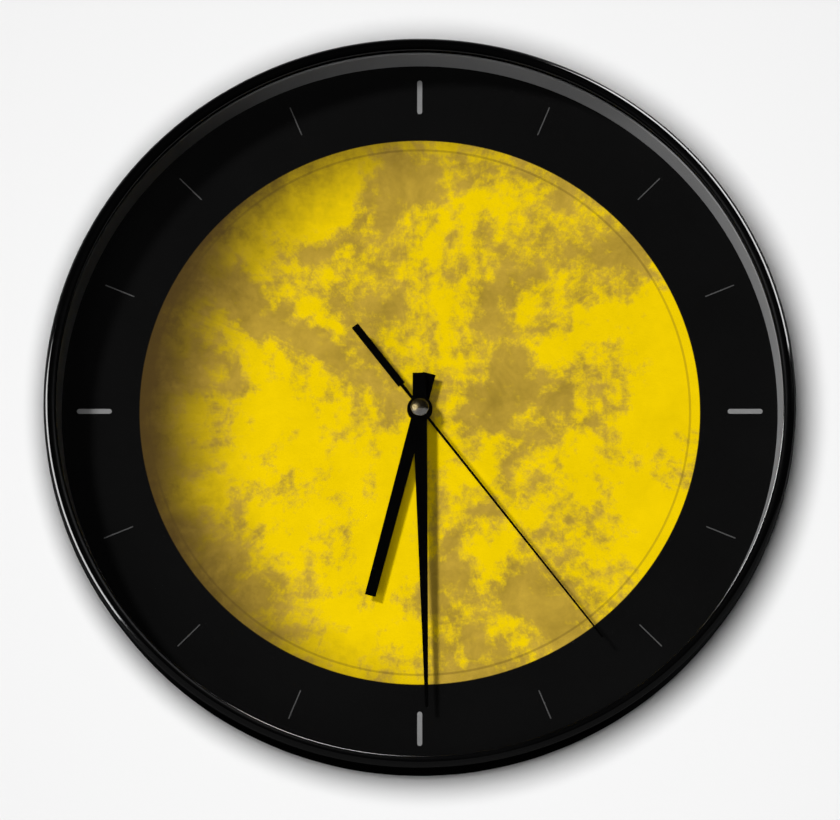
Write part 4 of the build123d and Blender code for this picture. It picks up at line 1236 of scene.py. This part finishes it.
class CLOCK_OT_stage(ClockOperator, bpy.types.Operator):
    """Set the wall, floor, lamps and camera"""

    bl_idname = "clock.stage"
    bl_label = "Stage"

    def execute(self, context):
        scene = context.scene
        stage = scene.clock_stage
        scene.view_settings.view_transform = "Standard"
        low, wide, broad = -stage.drop, stage.wall_reach, stage.floor_reach
        wall = backdrop("wall", [(-wide, 0, low), (wide, 0, low), (wide, 0, wide), (-wide, 0, wide)],
                        wall_finish(stage))
        floor = backdrop("floor", [(-broad, -broad, low), (broad, -broad, low), (broad, broad, low),
                                   (-broad, broad, low)], floor_finish(stage))
        floor.visible_diffuse = False
        if scene.world is None:
            scene.world = bpy.data.worlds.new("surround")
        pale_surround(scene.world, stage)
        self.lamps(stage, wall, floor)
        self.cards(stage)
        self.camera(stage, scene)
        return {"FINISHED"}

    def lamps(self, stage, wall, floor):
        """Key, fill and front for the clock, a wash for the wall, and lamps for single pieces."""
        key = sun("key", HIGH_LEFT, stage.key, softness=9)
        fill = disk("fill", LOW_LEFT, distance=1.6, energy=stage.fill, size=0.8)
        front = disk("front", BESIDE_CAMERA, distance=2.5, energy=stage.front, size=1.0)
        rear = sun("rear", BEHIND, stage.rear, softness=20)
        wash = lamp("wall_wash", "AREA", BEFORE_WALL, distance=1.419, aim=(0.23, 0.0, 0.63),
                    energy=stage.wash, shape="ELLIPSE", size=0.5, size_y=0.7)
        side = sun("side", RIGHT_SIDE, stage.side, softness=20)
        slope = disk("slope", FAR_LEFT, distance=1.6, energy=stage.slope, size=0.8)
        glint = disk("glint", FACING_CAP, distance=1.2, energy=stage.glint, size=0.4,
                     color=stage.glint_colour)
        ring, slope_ring = made_as("case_ring"), made_as("slope_ring")
        linked_to(wash, "INCLUDE", wall)
        linked_to(side, "INCLUDE", *ring)
        linked_to(key, "EXCLUDE", wall)
        for low_lamp in (fill, front):
            linked_to(low_lamp, "EXCLUDE", wall, *ring, *slope_ring)
        linked_to(slope, "INCLUDE", *slope_ring)
        linked_to(glint, "INCLUDE", *made_as("cap"))
        linked_to(rear, "EXCLUDE", wall, floor, *made_as("case_ring", "lip_thread"))
        for unseen in (wash, fill, front, key, side, slope, glint):
            unseen.visible_camera = False
            unseen.visible_transmission = False
        for dull in (wash, fill, front, key, side):
            dull.visible_glossy = False

    def cards(self, stage):
        """Long lamps that draw the highlights on the bead and on the thread."""
        # Each has its target, its direction, the line of its long side, its length and its share of the power
        cards = {"card_right": ("case_ring", (0.65, -0.31, 0.69), (-0.51, 0.19, 0.59), 1.05, 1.0),
                 "card_left": ("case_ring", (-0.906, -0.424, -0.037), (-0.11, 0.17, 0.69), 0.92, 1.0),
                 "thread_right": ("lip_thread", (-0.757, -0.416, 0.503), (0.177, 0.096, 0.349), 0.49, 1.5),
                 "thread_left": ("lip_thread", (0.20, -0.35, 0.915), (0.455, -0.05, -0.146), 0.36, 1.0)}
        for name, (target, direction, along, length, share) in cards.items():
            power = stage.cards * length * share
            card = lamp(name, "AREA", direction, distance=1.2, along=along, energy=power,
                        shape="RECTANGLE", size=0.55, size_y=length)
            linked_to(card, "INCLUDE", *made_as(target))
            card.visible_camera = False
            card.visible_diffuse = False
            card.visible_transmission = False

    def camera(self, stage, scene):
        """The camera, looking up at the clock from a little below."""
        data = bpy.data.cameras.new("camera")
        data.lens = stage.lens
        data.sensor_width = stage.sensor
        data.clip_end = stage.sight
        made = bpy.data.objects.new("camera", data)
        level = cos(stage.elevation)
        toward = Vector((sin(stage.azimuth) * level, -cos(stage.azimuth) * level, sin(stage.elevation)))
        made.location = Vector(stage.target) + toward * stage.distance
        made.rotation_mode = "QUATERNION"
        made.rotation_quaternion = toward.to_track_quat("Z", "Y")
        scene.collection.objects.link(made)
        scene.camera = made


OPERATORS = (CLOCK_OT_case_ring, CLOCK_OT_glass, CLOCK_OT_slope_ring, CLOCK_OT_dial, CLOCK_OT_marks,
             CLOCK_OT_hands, CLOCK_OT_cap, CLOCK_OT_back, CLOCK_OT_hanger, CLOCK_OT_movement, CLOCK_OT_cell,
             CLOCK_OT_train, CLOCK_OT_stage)


class CLOCK_PT_sidebar(bpy.types.Panel):
    """Lists the clock's operators and what the user may change"""

    bl_idname = "CLOCK_PT_sidebar"
    bl_label = "Wall clock"
    bl_space_type = "VIEW_3D"
    bl_region_type = "UI"
    bl_category = "Clock"

    def draw(self, context):
        for operator in OPERATORS:
            self.layout.operator(operator.bl_idname)
        for name, group in GROUPS.items():
            box = self.layout.box()
            box.label(text=group.__name__)
            for prop in group.__annotations__:
                box.prop(getattr(context.scene, name), prop)


CLASSES = tuple(GROUPS.values()) + OPERATORS + (CLOCK_PT_sidebar,)


def register():
    for each in CLASSES:
        bpy.utils.register_class(each)
    for name, group in GROUPS.items():
        setattr(bpy.types.Scene, name, bpy.props.PointerProperty(type=group))


def unregister():
    for name in GROUPS:
        delattr(bpy.types.Scene, name)
    for each in reversed(CLASSES):
        bpy.utils.unregister_class(each)


def main():
    register()
    bpy.ops.clock.case_ring()
    bpy.ops.clock.glass()
    bpy.ops.clock.slope_ring()
    bpy.ops.clock.dial()
    bpy.ops.clock.marks()
    bpy.ops.clock.hands()
    bpy.ops.clock.cap()
    bpy.ops.clock.back()
    bpy.ops.clock.hanger()
    bpy.ops.clock.movement()
    bpy.ops.clock.cell()
    bpy.ops.clock.train()
    bpy.ops.clock.stage()


if __name__ == "__main__":
    main()
